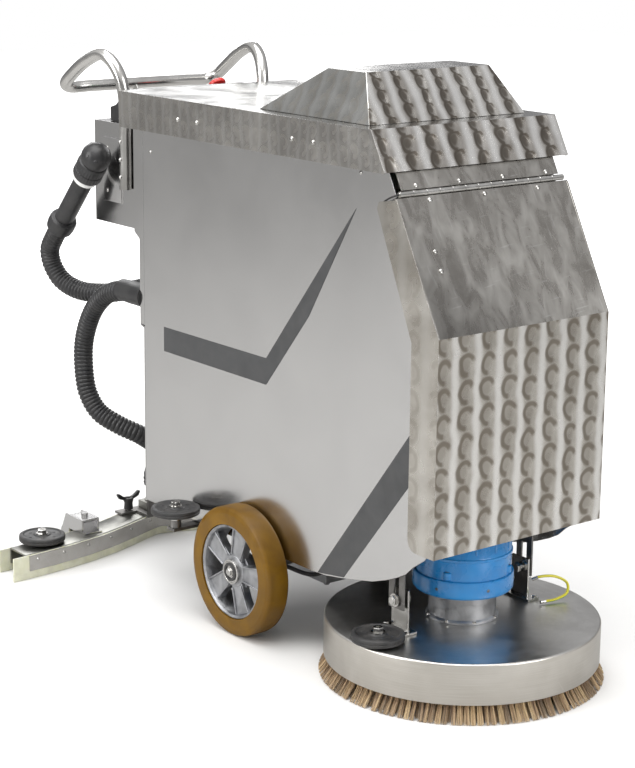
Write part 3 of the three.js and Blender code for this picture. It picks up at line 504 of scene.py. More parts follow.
def tuftFinish(name):
    material, tree, surface = shader(name, Roughness=0.62, Sheen_Weight=0.15)
    tone = tree.nodes.new("ShaderNodeAttribute")
    tone.attribute_name = "tone"
    along = tree.nodes.new("ShaderNodeAttribute")
    along.attribute_name = "along"
    ramp = tree.nodes.new("ShaderNodeValToRGB")
    stops = ((0.0, (0.060, 0.026, 0.013)), (0.3, (0.19, 0.088, 0.042)), (0.6, (0.34, 0.19, 0.085)), (1.0,
            (0.60, 0.42, 0.21)))
    while len(ramp.color_ramp.elements) < len(stops):
        ramp.color_ramp.elements.new(0.5)
    for element, (at, colour) in zip(ramp.color_ramp.elements, stops):
        element.position = at
        element.color = (*colour, 1.0)
    tree.links.new(tone.outputs["Fac"], ramp.inputs["Fac"])
    streak = noiseNode(tree, scaledPlace(tree, objectPlace(tree), (900.0, 900.0, 120.0)), 1.0, 2.0)
    tipped = mixColour(tree, mathNode(tree, "MULTIPLY", along.outputs["Fac"], 0.35), ramp.outputs[0], (0.64, 0.54,
            0.36))
    tree.links.new(mixColour(tree, rangeNode(tree, streak, 0.3, 0.7, 0.0, 0.3), tipped, (0.10, 0.06, 0.03)),
                   surface.inputs["Base Color"])
    return material


tuftFibre = tuftFinish("tuft_fibre")


def earthFinish(name):
    material, tree, surface = shader(name, Roughness=0.38)
    around = tree.nodes.new("ShaderNodeAttribute")
    around.attribute_name = "around"
    stripe = rangeNode(tree, around.outputs["Fac"], 0.42, 0.46)
    faded = mixColour(tree, noiseNode(tree, objectPlace(tree), 60.0), (0.62, 0.55, 0.02), (0.72, 0.66, 0.06))
    tree.links.new(mixColour(tree, stripe, faded, (0.05, 0.30, 0.03)), surface.inputs["Base Color"])
    return material


earthInsulation = earthFinish("earth_insulation")
print("finishes made")


# mesh helpers
def addLathe(mesh, profile, place=(0, 0, 0), axis=(0, 0, 1), sides=48, ripple=None):
    turn = Vector((0, 0, 1)).rotation_difference(Vector(axis).normalized())
    rings = []
    for radius, height in profile:
        if radius < 1e-7:
            rings.append([mesh.verts.new(Vector(place) + turn @ Vector((0, 0, height)))])
            continue
        ring = []
        for k in range(sides):
            angle = 2 * math.pi * k / sides
            reach = radius if ripple is None else radius * ripple(angle, height)
            ring.append(mesh.verts.new(Vector(place) + turn @ Vector((reach * math.cos(angle), reach * math.sin(angle),
                    height))))
        rings.append(ring)
    following = rings[1:] + rings[:1] if profile[0][0] > 1e-7 else rings[1:]
    for lower, upper in zip(rings, following):
        for k in range(sides):
            n = (k + 1) % sides
            corners = [lower[k % len(lower)], lower[n % len(lower)], upper[n % len(upper)], upper[k % len(upper)]]
            kept = [v for i, v in enumerate(corners) if v not in corners[:i]]
            if len(kept) > 2:
                mesh.faces.new(kept)


def addRod(mesh, start, end, radius, sides=24, chamfer=0.0):
    start, end = Vector(start), Vector(end)
    length = (end - start).length
    c = min(chamfer, radius * 0.5, length * 0.45)
    profile = [(0, 0), (radius - c, 0), (radius, c), (radius, length - c), (radius - c, length), (0, length)]
    if c <= 0:
        profile = [(0, 0), (radius, 0), (radius, length), (0, length)]
    addLathe(mesh, profile, start, end - start, sides)


def addBlock(mesh, low, high):
    made = bmesh.ops.create_cube(mesh, size=1.0)
    for vert in made["verts"]:
        vert.co = Vector([(a + b) / 2 + c * (b - a) for a, b, c in zip(low, high, vert.co)])


def addPrism(mesh, outline, low, high, axis="x"):
    order = {"x": lambda a, b, c: (c, a, b), "y": lambda a, b, c: (a, c, b), "z": lambda a, b, c: (a, b, c)}[axis]
    near = [mesh.verts.new(order(a, b, low)) for a, b in outline]
    far = [mesh.verts.new(order(a, b, high)) for a, b in outline]
    mesh.faces.new(near)
    mesh.faces.new(far[::-1])
    for k in range(len(outline)):
        n = (k + 1) % len(outline)
        mesh.faces.new([near[k], far[k], far[n], near[n]])


def addScrew(mesh, place, axis, radius, height, kind="pan"):
    if kind == "hex":
        addLathe(mesh, [(0, -0.001), (radius * 1.28, -0.001), (radius * 1.28, 0.0008), (0, 0.0008)], place, axis, 24)
        addLathe(mesh, [(0, 0), (radius, 0), (radius, height * 0.85), (radius * 0.88, height), (0, height)], place,
                 axis, 6)
        return
    dome = [(radius * math.cos(a), height * math.sin(a)) for a in (0.0, 0.4, 0.8, 1.15)]
    dip = height * 0.45
    addLathe(mesh, [(0, -0.001), (radius, -0.001), *dome, (radius * 0.34, height), (radius * 0.30, dip), (0, dip)],
             place, axis, 20)


def addSweep(mesh, line, radii, sides, cap=True, aroundLayer=None):
    across = Vector((0, 0, 1)).cross(line[1] - line[0])
    if across.length < 1e-9:
        across = Vector((1, 0, 0))
    rings = []
    for i, point in enumerate(line):
        ahead = (line[min(i + 1, len(line) - 1)] - line[max(i - 1, 0)]).normalized()
        across = (across - ahead * across.dot(ahead)).normalized()
        side = ahead.cross(across)
        ring = []
        for k in range(sides):
            angle = 2 * math.pi * k / sides
            vert = mesh.verts.new(point + (across * math.cos(angle) + side * math.sin(angle)) * radii[i])
            if aroundLayer is not None:
                vert[aroundLayer] = abs(k / sides * 2 - 1)
            ring.append(vert)
        rings.append(ring)
    for lower, upper in zip(rings, rings[1:]):
        for k in range(sides):
            n = (k + 1) % sides
            mesh.faces.new([lower[k], lower[n], upper[n], upper[k]])
    if cap:
        mesh.faces.new(rings[0][::-1])
        mesh.faces.new(rings[-1])


def curvePoints(points, step, spanSteps=24):
    knots = [Vector(p) for p in points]
    knots = [knots[0] * 2 - knots[1], *knots, knots[-1] * 2 - knots[-2]]
    dense = []
    for p0, p1, p2, p3 in zip(knots, knots[1:], knots[2:], knots[3:]):
        t1 = (p1 - p0).length ** 0.5
        t2 = t1 + (p2 - p1).length ** 0.5
        t3 = t2 + (p3 - p2).length ** 0.5
        for k in range(spanSteps):
            t = t1 + (t2 - t1) * k / spanSteps
            a1, a2, a3 = p0.lerp(p1, t / t1), p1.lerp(p2, (t - t1) / (t2 - t1)), p2.lerp(p3, (t - t2) / (t3 - t2))
            b1, b2 = a1.lerp(a2, t / t2), a2.lerp(a3, (t - t1) / (t3 - t1))
            dense.append(b1.lerp(b2, (t - t1) / (t2 - t1)))
    dense.append(knots[-2])
    total = lineLength(dense)
    count = max(2, round(total / step))
    spaced, walked, i = [dense[0]], 0.0, 0
    for k in range(1, count):
        target = total * k / count
        while walked + (dense[i + 1] - dense[i]).length < target:
            walked += (dense[i + 1] - dense[i]).length
            i += 1
        spaced.append(dense[i].lerp(dense[i + 1], (target - walked) / (dense[i + 1] - dense[i]).length))
    return [*spaced, dense[-1]]


def lineLength(line):
    return sum((b - a).length for a, b in zip(line, line[1:]))


def addTube(mesh, plan):
    line = curvePoints(plan["route"], plan["step"])
    addSweep(mesh, line, [plan["radius"]] * len(line), plan["sides"])


def pieceOf(mesh, name, material, body, stands=(), bevel=0.0, sharp=32, ride=True):
    bmesh.ops.recalc_face_normals(mesh, faces=mesh.faces)
    data = bpy.data.meshes.new(name)
    mesh.to_mesh(data)
    mesh.free()
    data.polygons.foreach_set("use_smooth", [True] * len(data.polygons))
    data.set_sharp_from_angle(angle=math.radians(sharp))
    piece = bpy.data.objects.new(name, data)
    bpy.context.scene.collection.objects.link(piece)
    data.materials.append(material)
    if bevel:
        edge = piece.modifiers.new("edge", "BEVEL")
        edge.width, edge.segments, edge.limit_method, edge.angle_limit = bevel, 2, "ANGLE", math.radians(38)
        edge.harden_normals = True
    if ride:
        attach(piece, body)
    if stands:
        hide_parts(*stands)
    return piece


def fromNode(node, name, material, bevel=0.0, dissolve=True):
    mesh = bmesh.new()
    mesh.from_mesh(nodes[node].data)
    bmesh.ops.remove_doubles(mesh, verts=mesh.verts, dist=0.00002)
    if dissolve:
        bmesh.ops.dissolve_limit(mesh, angle_limit=math.radians(0.6), verts=mesh.verts, edges=mesh.edges)
    return pieceOf(mesh, name, material, bodyOf[node], [node], bevel)


def paintFaces(piece, material, test):
    piece.data.materials.append(material)
    index = len(piece.data.materials) - 1
    for face in piece.data.polygons:
        if test(face.normal, face.center):
            face.material_index = index


# hoses and wire, on the routes that the CAD solids follow
suctionRoute = [
    (-0.166, 0.4324, 0.583), (-0.1666, 0.450, 0.583), (-0.171, 0.478, 0.578), (-0.176, 0.512, 0.563), (-0.180, 0.554,
            0.524),
    (-0.182, 0.586, 0.460), (-0.182, 0.591, 0.402), (-0.178, 0.583, 0.345), (-0.166, 0.560, 0.306), (-0.140, 0.524,
            0.281),
    (-0.102, 0.498, 0.258), (-0.058, 0.508, 0.226), (-0.020, 0.548, 0.188), (-0.002, 0.594, 0.152), (0, 0.609, 0.128),
    (0, 0.6094, 0.1066),
]
drainRoute = [
    (-0.100, 0.404, 0.590), (-0.1006, 0.420, 0.590), (-0.106, 0.446, 0.585), (-0.124, 0.500, 0.570), (-0.148, 0.570,
            0.556),
    (-0.170, 0.628, 0.556), (-0.186, 0.668, 0.574), (-0.195, 0.689, 0.606), (-0.200, 0.688, 0.636), (-0.2018, 0.6683,
            0.6619),
    (-0.202, 0.648, 0.684),
]
hosePlan = {"radius": 0.0204, "ribDepth": 0.0024, "pitch": 0.0085, "ringsPerRib": 6, "sides": 28}


def ribbedHose(name, route, plan):
    line = curvePoints(route, plan["pitch"] / plan["ringsPerRib"])
    step = lineLength(line) / (len(line) - 1)
    radii = []
    for i in range(len(line)):
        swell = abs(math.sin(math.pi * i * step / plan["pitch"])) ** 0.7
        radii.append(plan["radius"] - plan["ribDepth"] * (1 - swell))
    mesh = bmesh.new()
    addSweep(mesh, line, radii, plan["sides"])
    return mesh, line


pipeStart, pipeEnd = Vector((-0.202, 0.6474, 0.6847)), Vector((-0.203, 0.531, 0.811))
pipeWay = (pipeEnd - pipeStart).normalized()


def ribs(count, depth, low, high):
    return lambda angle, height: 1.0 - (depth * (0.5 - 0.5 * math.cos(angle * count)) ** 2 if low <= height <= high else 0.0)


suctionMesh, suctionLine = ribbedHose("suctionHose", suctionRoute, hosePlan)
suctionHose = pieceOf(suctionMesh, "suctionHose", hoseBlack, "chassis", ["suction_hose"], sharp=60,
                      ride=False)
drainMesh, drainLine = ribbedHose("drainHose", drainRoute, hosePlan)
drainHose = pieceOf(drainMesh, "drainHose", hoseBlack, "chassis", ["drain_hose"], sharp=60)

mesh = bmesh.new()
addLathe(mesh, [(0, 0.002), (0.0215, 0.002), (0.0275, 0.006), (0.0288, 0.012), (0.0288, 0.030), (0.0270, 0.034),
                (0.0202, 0.036), (0.0200, 0.160), (0, 0.160)],
         pipeStart, pipeWay, 48, ribs(24, 0.05, 0.008, 0.031))
pieceOf(mesh, "drainPipe", plasticBlack, "chassis", ["drain_pipe"])
mesh = bmesh.new()
addLathe(mesh, [(0, 0.157), (0.0232, 0.157), (0.0246, 0.1585), (0.0250, 0.1640), (0.0246, 0.1695), (0.0232, 0.1700),
                (0, 0.1700)], pipeStart, pipeWay, 48)
pieceOf(mesh, "drainRing", lensWhite, "chassis")
mesh = bmesh.new()
ball = [(0.0305 * math.sin(a), 0.226 - 0.0305 * math.cos(a)) for a in [math.pi * k / 20 for k in range(7, 21)]]
addLathe(mesh, [(0, 0.1706), (0.0285, 0.1706), (0.0306, 0.1735), (0.0306, 0.187), (0.0286, 0.1885), (0.0286, 0.1905),
                (0.0306, 0.1920), (0.0308, 0.2070),
                (0.0296, 0.2105), *ball[:-1], (0, 0.2565)], pipeStart, pipeWay, 96, ribs(32, 0.055, 0.1725, 0.2090))
for turnStep in range(8):
    angle = turnStep * math.pi / 4
    side = pipeWay.orthogonal().normalized()
    outward = side * math.cos(angle) + pipeWay.cross(side) * math.sin(angle)
    addLathe(mesh, [(0, -0.006), (0.0042, -0.006), (0.0042, 0.0008), (0.0030, 0.0018), (0, 0.0018)],
             pipeStart + pipeWay * 0.238 + outward * 0.0268, outward + pipeWay * 0.42, 14)
pieceOf(mesh, "drainCap", plasticBlack, "cap", ["drain_cap"])

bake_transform(suctionHose)

earthRoute = [
    (0.157, -0.420, 0.146), (0.164, -0.426, 0.150), (0.196, -0.436, 0.147), (0.215, -0.448, 0.134), (0.206, -0.458,
            0.120),
    (0.178, -0.458, 0.113), (0.148, -0.452, 0.1125),
]
mesh = bmesh.new()
aroundLayer = mesh.verts.layers.float.new("around")
earthLine = curvePoints(earthRoute, 0.003)
addSweep(mesh, earthLine, [0.0026] * len(earthLine), 10, True, aroundLayer)
earthCable = pieceOf(mesh, "earthCable", earthInsulation, "chassis", ["earth_cable"], ride=False)
mesh = bmesh.new()
for at, way in ((earthLine[0], earthLine[0] - earthLine[2]), (earthLine[-1], earthLine[-1] - earthLine[-3])):
    addRod(mesh, at - way.normalized() * 0.008, at + way.normalized() * 0.004, 0.0033, 12, 0.0006)
earthLugs = pieceOf(mesh, "earthLugs", brightSteel, "chassis", ride=False)
for item in (earthCable, earthLugs):
    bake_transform(item)
print("hoses laid", round(lineLength(suctionLine), 3), round(lineLength(drainLine), 3), round(lineLength(earthLine), 3))

cuffPlan = {"suction": {"x": -0.166, "z": 0.583, "outer": 0.0232, "tip": 0.4304}, "drain": {"x": -0.100, "z": 0.590,
        "outer": 0.0282, "tip": 0.402}}
for name, cuff in cuffPlan.items():
    mesh = bmesh.new()
    r, tip = cuff["outer"], cuff["tip"] - 0.3665
    lip = r + 0.0012
    profile = [(0, 0), (lip, 0), (lip, 0.006), (r, 0.008), (r, tip - 0.006), (r - 0.0004, tip - 0.002)]
    profile += [(0.0226, tip + 0.010), (0.0220, tip + 0.026), (0.0214, tip + 0.028), (0, tip + 0.028)]
    addLathe(mesh, profile, (cuff["x"], 0.3705, cuff["z"]), (0, 1, 0), 56)
    pieceOf(mesh, name + "Cuff", rubberBlack, "chassis")

# housing
fromNode("side_panel_right", "sidePanelRight", satinSteel, 0.0006)
fromNode("side_panel_left", "sidePanelLeft", satinSteel, 0.0006)
fromNode("rear_panel", "rearPanel", satinSteel, 0.0006)
fromNode("front_strip", "frontStrip", cloudySteel, 0.0005)
fromNode("chassis_frame", "chassisFrame", darkSteel, 0.0010)

doorSheet = fromNode("front_door", "frontDoor", doorEdgeTurned, 0.0012)
paintFaces(doorSheet, doorTurned, lambda n, c: abs(n.y) > 0.98)
paintFaces(doorSheet, cloudySteel, lambda n, c: 0.3 < abs(n.y) < 0.98 and abs(n.x) < 0.3 and c.z > 0.5)
lidSheet = fromNode("top_lid", "topLid", flangeTurned, 0.0012)
paintFaces(lidSheet, lidSteel, lambda n, c: abs(n.z) > 0.95)
paintFaces(lidSheet, lipTurned, lambda n, c: n.y < -0.6 and abs(n.x) < 0.3)
# the hood's side faces keep the darker copy of its steel, which is painted shade
hoodSheet = fromNode("lid_hood", "lidHood", hoodSideShadeTurned, 0.0012)
paintFaces(hoodSheet, hoodTurned, lambda n, c: abs(n.y) > 0.5)
paintFaces(hoodSheet, lidSteel, lambda n, c: abs(n.z) > 0.95)

hingePlan = {"y": -0.4215, "z": 0.8875, "radius": 0.0052, "half": 0.189, "knuckles": 13}
doorRolls, fixedRolls = bmesh.new(), bmesh.new()
width = 2 * hingePlan["half"] / hingePlan["knuckles"]
for k in range(hingePlan["knuckles"]):
    start = -hingePlan["half"] + k * width
    target = doorRolls if k % 2 else fixedRolls
    addRod(target, (start + 0.0004, hingePlan["y"], hingePlan["z"]), (start + width - 0.0004, hingePlan["y"],
            hingePlan["z"]), hingePlan["radius"], 20, 0.0006)
pieceOf(doorRolls, "hingeRollsDoor", brightSteel, "door")
pieceOf(fixedRolls, "hingeRollsFixed", brightSteel, "chassis")
mesh = bmesh.new()
addRod(mesh, (-0.190, hingePlan["y"], hingePlan["z"]), (0.190, hingePlan["y"], hingePlan["z"]), 0.0039, 18, 0.0008)
pieceOf(mesh, "hingePin", brightSteel, "chassis", ["door_hinge_pin"])

slope = Vector((0, -0.8863, 0.4632))
rivetPlan = {"strip": [(-0.148, -0.4166, 0.8990), (-0.051, -0.4166, 0.8990), (0.049, -0.4168, 0.8987), (0.152, -0.4168,
        0.8987)],
             "door": [(-0.127, -0.4289, 0.8748), (-0.003, -0.4289, 0.8748), (0.122, -0.4289, 0.8748), (-0.149, -0.4703,
                     0.7952), (-0.149, -0.4863, 0.7649)]}
for body, places in (("chassis", rivetPlan["strip"]), ("door", rivetPlan["door"])):
    mesh = bmesh.new()
    for place in places:
        addScrew(mesh, Vector(place) + slope * 0.0004, slope, 0.0048, 0.0022)
    pieceOf(mesh, "rivets_" + body, brightSteel, body)

screwPlan = {"lid": [(y, 0.955) for y in (0.192, 0.130, -0.159, -0.219)], "panel": [(0.327, 0.878), (-0.316, 0.912)]}
lidScrews, panelScrews = bmesh.new(), bmesh.new()
for side in (-1, 1):
    for y, z in screwPlan["lid"]:
        addScrew(lidScrews, (side * 0.2122, y, z), (side, 0, 0), 0.0048, 0.0024)
    for y, z in screwPlan["panel"]:
        addScrew(panelScrews, (side * 0.1842, y, z), (side, 0, 0), 0.0038, 0.0018)
for x in (-0.150, -0.05, 0.05, 0.150):
    for z in (0.200, 0.500):
        addScrew(panelScrews, (x, 0.3577, z), (0, 1, 0), 0.0042, 0.0020)
pieceOf(lidScrews, "lidScrews", brightSteel, "lid")
pieceOf(panelScrews, "panelScrews", brightSteel, "chassis")
stayPlan = {
    "radius": 0.0016, "step": 0.004, "sides": 8,
    "route": [(-0.1865, -0.372, 0.862), (-0.193, -0.388, 0.872), (-0.1955, -0.408, 0.882), (-0.1912, -0.4215, 0.8875)],
}
mesh = bmesh.new()
addTube(mesh, stayPlan)
pieceOf(mesh, "doorStayWire", plasticBlack, "chassis")

# generic graphics: a plain dark strip with a rising spike and a diagonal band
filmPlan = {"out": 0.1843, "thick": 0.0003,
            "strip": [(0.285, 0.539), (-0.050, 0.5395), (-0.3056, 0.8505), (-0.1762, 0.640), (-0.050, 0.4895), (0.285,
                    0.4905)],
            "band": [(-0.2085, 0.1700), (-0.2840, 0.1815), (-0.4600, 0.3970), (-0.4600, 0.4880)]}
for side in (-1, 1):
    mesh = bmesh.new()
    for outline in (filmPlan["strip"], filmPlan["band"]):
        low, high = sorted((side * filmPlan["out"], side * (filmPlan["out"] + filmPlan["thick"])))
        addPrism(mesh, outline, low, high)
    bmesh.ops.triangulate(mesh, faces=mesh.faces)
    pieceOf(mesh, "panelFilm" + ("Right" if side < 0 else "Left"), filmGrey, "chassis")
print("housing made")

# inside the housing
for node, name in (("solution_tank", "solutionTank"), ("recovery_tank", "recoveryTank")):
    fromNode(node, name, tankWhite, 0.008)
mesh = bmesh.new()
addLathe(mesh, [(0, 0.9052), (0.098, 0.9052), (0.100, 0.907), (0.100, 0.916), (0.094, 0.920), (0.090, 0.9225),
                (0, 0.9225)], (0, 0.16, 0), sides=80, ripple=ribs(40, 0.03, 0.906, 0.917))
addLathe(mesh, [(0, 0.9052), (0.040, 0.9052), (0.040, 0.925), (0.037, 0.928), (0, 0.928)], (-0.09, -0.12, 0), sides=40,
         ripple=ribs(20, 0.05, 0.906, 0.925))
addBlock(mesh, (-0.012, 0.08, 0.9220), (0.012, 0.24, 0.9330))
pieceOf(mesh, "tankCaps", plasticBlack, "chassis", bevel=0.0008)
airBridgePlan = {
    "radius": 0.019, "step": 0.006, "sides": 20,
    "route": [(0.10, 0.30, 0.902), (0.10, 0.30, 0.925), (0.10, 0.285, 0.944), (0.10, 0.25, 0.950), (0.10, 0.10, 0.948),
              (0.10, -0.06, 0.944), (0.10, -0.10, 0.930), (0.10, -0.105, 0.902)],
}
mesh = bmesh.new()
addTube(mesh, airBridgePlan)
pieceOf(mesh, "airBridge", hoseBlack, "chassis")
for node in ("battery_front", "battery_rear"):
    fromNode(node, node.replace("_f", "F").replace("_r", "R"), batteryGrey, 0.003)
mesh = bmesh.new()
for y in (-0.126, 0.102):
    for x in (-0.11, 0.11):
        addLathe(mesh, [(0, 0.531), (0.0105, 0.531), (0.0088, 0.5458), (0, 0.5458)], (x, y, 0), sides=24)
    for k in range(6):
        addLathe(mesh, [(0, 0.529), (0.013, 0.529), (0.013, 0.5335), (0.011, 0.535), (0, 0.535)], (-0.0625 + k * 0.025,
                y + 0.055, 0), sides=18)
pieceOf(mesh, "batteryPosts", castMetal, "chassis")
fromNode("suction_motor", "suctionMotor", castMetal, 0.002)
fromNode("traction_unit", "tractionUnit", castMetal, 0.004)
mesh = bmesh.new()
for k in range(9):
    y = 0.062 + k * 0.011
    addLathe(mesh, [(0.040, 0), (0.0455, 0), (0.0455, 0.003), (0.040, 0.003)], (0, y, 0.128), (0, 1, 0), 48)
for x in (-0.04, 0.04):
    for y in (-0.055, 0.041):
        addScrew(mesh, (x, y, 0.1780), (0, 0, 1), 0.006, 0.005, "hex")
        addScrew(mesh, (x, y, 0.0780), (0, 0, -1), 0.006, 0.005, "hex")
pieceOf(mesh, "tractionFins", castMetal, "chassis")
mesh = bmesh.new()
addRod(mesh, (-0.2328, -0.007, 0.125), (0.2328, -0.007, 0.125), 0.0124, 36, 0.001)
pieceOf(mesh, "wheelAxle", darkSteel, "chassis", ["wheel_axle"])
motorLeadPlan = {
    "radius": 0.0042, "step": 0.006, "sides": 12,
    "route": [(-0.045, 0.10, 0.165), (-0.09, 0.085, 0.155), (-0.125, 0.045, 0.135), (-0.128, -0.06, 0.124), (-0.122,
            -0.13, 0.132), (-0.10, -0.18, 0.178), (-0.07, -0.25, 0.230), (-0.06, -0.29, 0.288)],
}
mesh = bmesh.new()
addTube(mesh, motorLeadPlan)
pieceOf(mesh, "motorLead", plasticBlack, "chassis")
print("inner pieces made")

# drive wheels
wheelPlan = {"y": -0.007, "z": 0.125, "inner": 0.187, "spokes": 5, "firstSpoke": 1.833}
tyreProfile = [(0.0914, 0.0), (0.112, 0.0), (0.1150, 0.0004), (0.1162, 0.0012), (0.1200, 0.0016), (0.1236, 0.0040),
               (0.1249, 0.0078),
               (0.1249, 0.0422), (0.1236, 0.0460), (0.1200, 0.0484), (0.1162, 0.0488), (0.1150, 0.0496), (0.112,
                       0.0500), (0.0914, 0.0500)]


def spokeOutline(turn, halfInner, halfOuter, start, end):
    points = []
    for r, h in ((start, halfInner), ((start + end) / 2, (halfInner + halfOuter) / 2 * 0.88), (end, halfOuter)):
        points.append((r, h))
    shape = [(r, -h) for r, h in points] + [(r, h) for r, h in points[::-1]]
    return [(r * math.cos(turn) - h * math.sin(turn), r * math.sin(turn) + h * math.cos(turn)) for r, h in shape]


def driveWheel(side, word):
    plan = wheelPlan
    inner = (side * plan["inner"], plan["y"], plan["z"])
    body = "wheel_" + word
    mesh = bmesh.new()
    addLathe(mesh, tyreProfile, inner, (side, 0, 0), 128)
    pieceOf(mesh, "tyre" + word.title(), tyreAmber, body, ["tyre_" + word], sharp=50)
    mesh = bmesh.new()
    barrel = [(0.0840, 0.003), (0.0908, 0.003), (0.0908, 0.0475), (0.0880, 0.0475), (0.0850, 0.0450), (0.0835, 0.0400),
              (0.0815, 0.0310), (0.0815, 0.0120)]
    addLathe(mesh, barrel, inner, (side, 0, 0), 96)
    nave = [(0.0135, 0.002), (0.0290, 0.002), (0.0310, 0.022), (0.0300, 0.030), (0.0330, 0.036), (0.0310, 0.0405),
            (0.0250, 0.0415), (0.0135, 0.0415)]
    addLathe(mesh, nave, inner, (side, 0, 0), 64)
    for k in range(plan["spokes"]):
        turn = plan["firstSpoke"] + k * 2 * math.pi / plan["spokes"]
        low, high = sorted((side * 0.2105, side * 0.2265))
        addPrism(mesh, [(plan["y"] + a, plan["z"] + b) for a, b in spokeOutline(turn, 0.0170, 0.0235, 0.024, 0.0830)],
                 low, high)
        low, high = sorted((side * 0.2255, side * 0.2295))
        for edge in (-1, 1):
            shape = [(0.030, edge * 0.0120), (0.082, edge * 0.0185), (0.082, edge * 0.0225), (0.030, edge * 0.0155)]
            turned = [(r * math.cos(turn) - s * math.sin(turn), r * math.sin(turn) + s * math.cos(turn)) for r,
                      s in shape]
            addPrism(mesh, [(plan["y"] + a, plan["z"] + b) for a, b in turned], low, high)
        between = turn + math.pi / plan["spokes"]
        low, high = sorted((side * 0.2080, side * 0.2190))
        web = [(r * math.cos(between + s), r * math.sin(between + s)) for r, s in ((0.028, -0.35), (0.028, 0.35),
                (0.040, 0.22), (0.040, -0.22))]
        addPrism(mesh, [(plan["y"] + a, plan["z"] + b) for a, b in web], low, high)
    pieceOf(mesh, "rim" + word.title(), castMetal, body, ["wheel_rim_" + word], bevel=0.0016)
    mesh = bmesh.new()
    face = (side * 0.2338, plan["y"], plan["z"])
    addLathe(mesh, [(0, -0.005), (0.0235, -0.005), (0.0240, 0.0), (0.0236, 0.0012), (0.0205, 0.0016), (0.0200, 0.0008),
                    (0.0150, 0.0008), (0, 0.0008)], face, (side, 0, 0), 64)
    addLathe(mesh, [(0, 0.0), (0.0098, 0.0), (0.0098, 0.0022), (0, 0.0022)], face, (side, 0, 0), 32)
    addScrew(mesh, Vector(face) + Vector((side * 0.002, 0, 0)), (side, 0, 0), 0.0075, 0.0044, "hex")
    pieceOf(mesh, "hubCap" + word.title(), brightSteel, body, ["hub_cap_" + word], bevel=0.0004)
    mesh = bmesh.new()
    addLathe(mesh, [(0.0118, 0.0006), (0.0178, 0.0006), (0.0180, 0.0022), (0.0172, 0.0030), (0.0124, 0.0030)], face,
             (side, 0, 0), 48)
    pieceOf(mesh, "hubRing" + word.title(), rubberBlack, body)


for side, word in bothSides:
    driveWheel(side, word)
print("wheels made")

# guide rollers, all of one pattern
rollerPlan = {
    "bumperRoller": ((-0.213, -0.416, 0.110), "bumper", "bumper_roller", "brush_head"),
    "sideRollerRight": ((-0.233, 0.177, 0.193), "side_roller_body_right", "side_roller_right", "chassis"),
    "sideRollerLeft": ((0.233, 0.177, 0.193), "side_roller_body_left", "side_roller_left", "chassis"),
    "endRollerRight": ((-0.314, 0.552, 0.054), "end_roller_body_right", "end_roller_right", "squeegee"),
    "endRollerLeft": ((0.314, 0.552, 0.054), "end_roller_body_left", "end_roller_left", "squeegee"),
}
discProfile = [(0.0066, 0.0), (0.030, 0.0), (0.0445, 0.0005), (0.0472, 0.0020), (0.0479, 0.0042), (0.0479, 0.0060),
               (0.0470, 0.0068), (0.0470, 0.0082),
               (0.0479, 0.0090), (0.0479, 0.0108), (0.0472, 0.0130), (0.0445, 0.0146), (0.0400, 0.0149), (0.0385,
                       0.0138), (0.0360, 0.0126),
               (0.0200, 0.0124), (0.0180, 0.0130), (0.0165, 0.0149), (0.0085, 0.0150), (0.0066, 0.0142)]


def guideRoller(name, place, body, node, carrier):
    mesh = bmesh.new()
    addLathe(mesh, discProfile, place, sides=96)
    for k in range(6):
        angle = k * math.pi / 3
        middle = Vector(place) + Vector((0.028 * math.cos(angle), 0.028 * math.sin(angle), 0.0122))
        addLathe(mesh, [(0, 0), (0.0030, 0), (0.0026, 0.0011), (0, 0.0011)], middle, sides=14)
    pieceOf(mesh, name, rubberBlack, body, [node])
    mesh = bmesh.new()
    x, y, z = place
    addLathe(mesh, [(0, z + 0.0152), (0.0125, z + 0.0152), (0.0125, z + 0.0166), (0, z + 0.0166)], (x, y, 0), sides=32)
    addLathe(mesh, [(0, z + 0.0160), (0.0098, z + 0.0160), (0.0098, z + 0.0235), (0.0088, z + 0.0248),
                    (0.0040, z + 0.0248), (0.0036, z + 0.0215), (0, z + 0.0215)], (x, y, 0), sides=6)
    low, high = (z - 0.003, z - 0.0012) if carrier == "brush_head" else (z - 0.0120, z - 0.0014)
    addLathe(mesh, [(0, low), (0.0112, low), (0.0112, high), (0, high)], (x, y, 0), sides=28)
    pieceOf(mesh, name + "Bolt", brightSteel, carrier)


for name, (place, body, node, carrier) in rollerPlan.items():
    guideRoller(name, place, body, node, carrier)

# brush deck
deckPlan = {"radius": 0.250, "top": 0.107, "low": 0.033, "wall": 0.003, "edge": 0.0045}
d = deckPlan
mesh = bmesh.new()
edgeArc = [(d["radius"] - d["edge"] + d["edge"] * math.cos(a),
            d["top"] - d["edge"] + d["edge"] * math.sin(a)) for a in [k * math.pi / 12 for k in range(7)]]
addLathe(mesh, [(0.022, d["top"] - d["wall"]), (0.244, d["top"] - d["wall"]), (0.247, d["top"] - 0.006),
                (0.247, d["low"] + 0.001), (0.2475, d["low"]),
                (0.2496, d["low"]), (0.250, d["low"] + 0.0008), *edgeArc, (0.0225, d["top"])], deckCentre, sides=160)
deckPiece = pieceOf(mesh, "deckShell", deckSideSteel, "brush_head", ["deck_shell"], sharp=40)
paintFaces(deckPiece, deckTopSteel, lambda n, c: abs(n.z) > 0.7)
mesh = bmesh.new()
z = 0.1074
addLathe(mesh, [(0.018, z), (0.0658, z), (0.0658, z + 0.0040), (0.0648, z + 0.0052), (0.0615, z + 0.0075),
                (0.0608, z + 0.0340), (0.0645, 0.1505), (0.0650, 0.1568), (0.018, 0.1568)],
         deckCentre, sides=96)
pieceOf(mesh, "gearboxFlange", castMetal, "brush_head", ["gearbox_flange"])
mesh = bmesh.new()
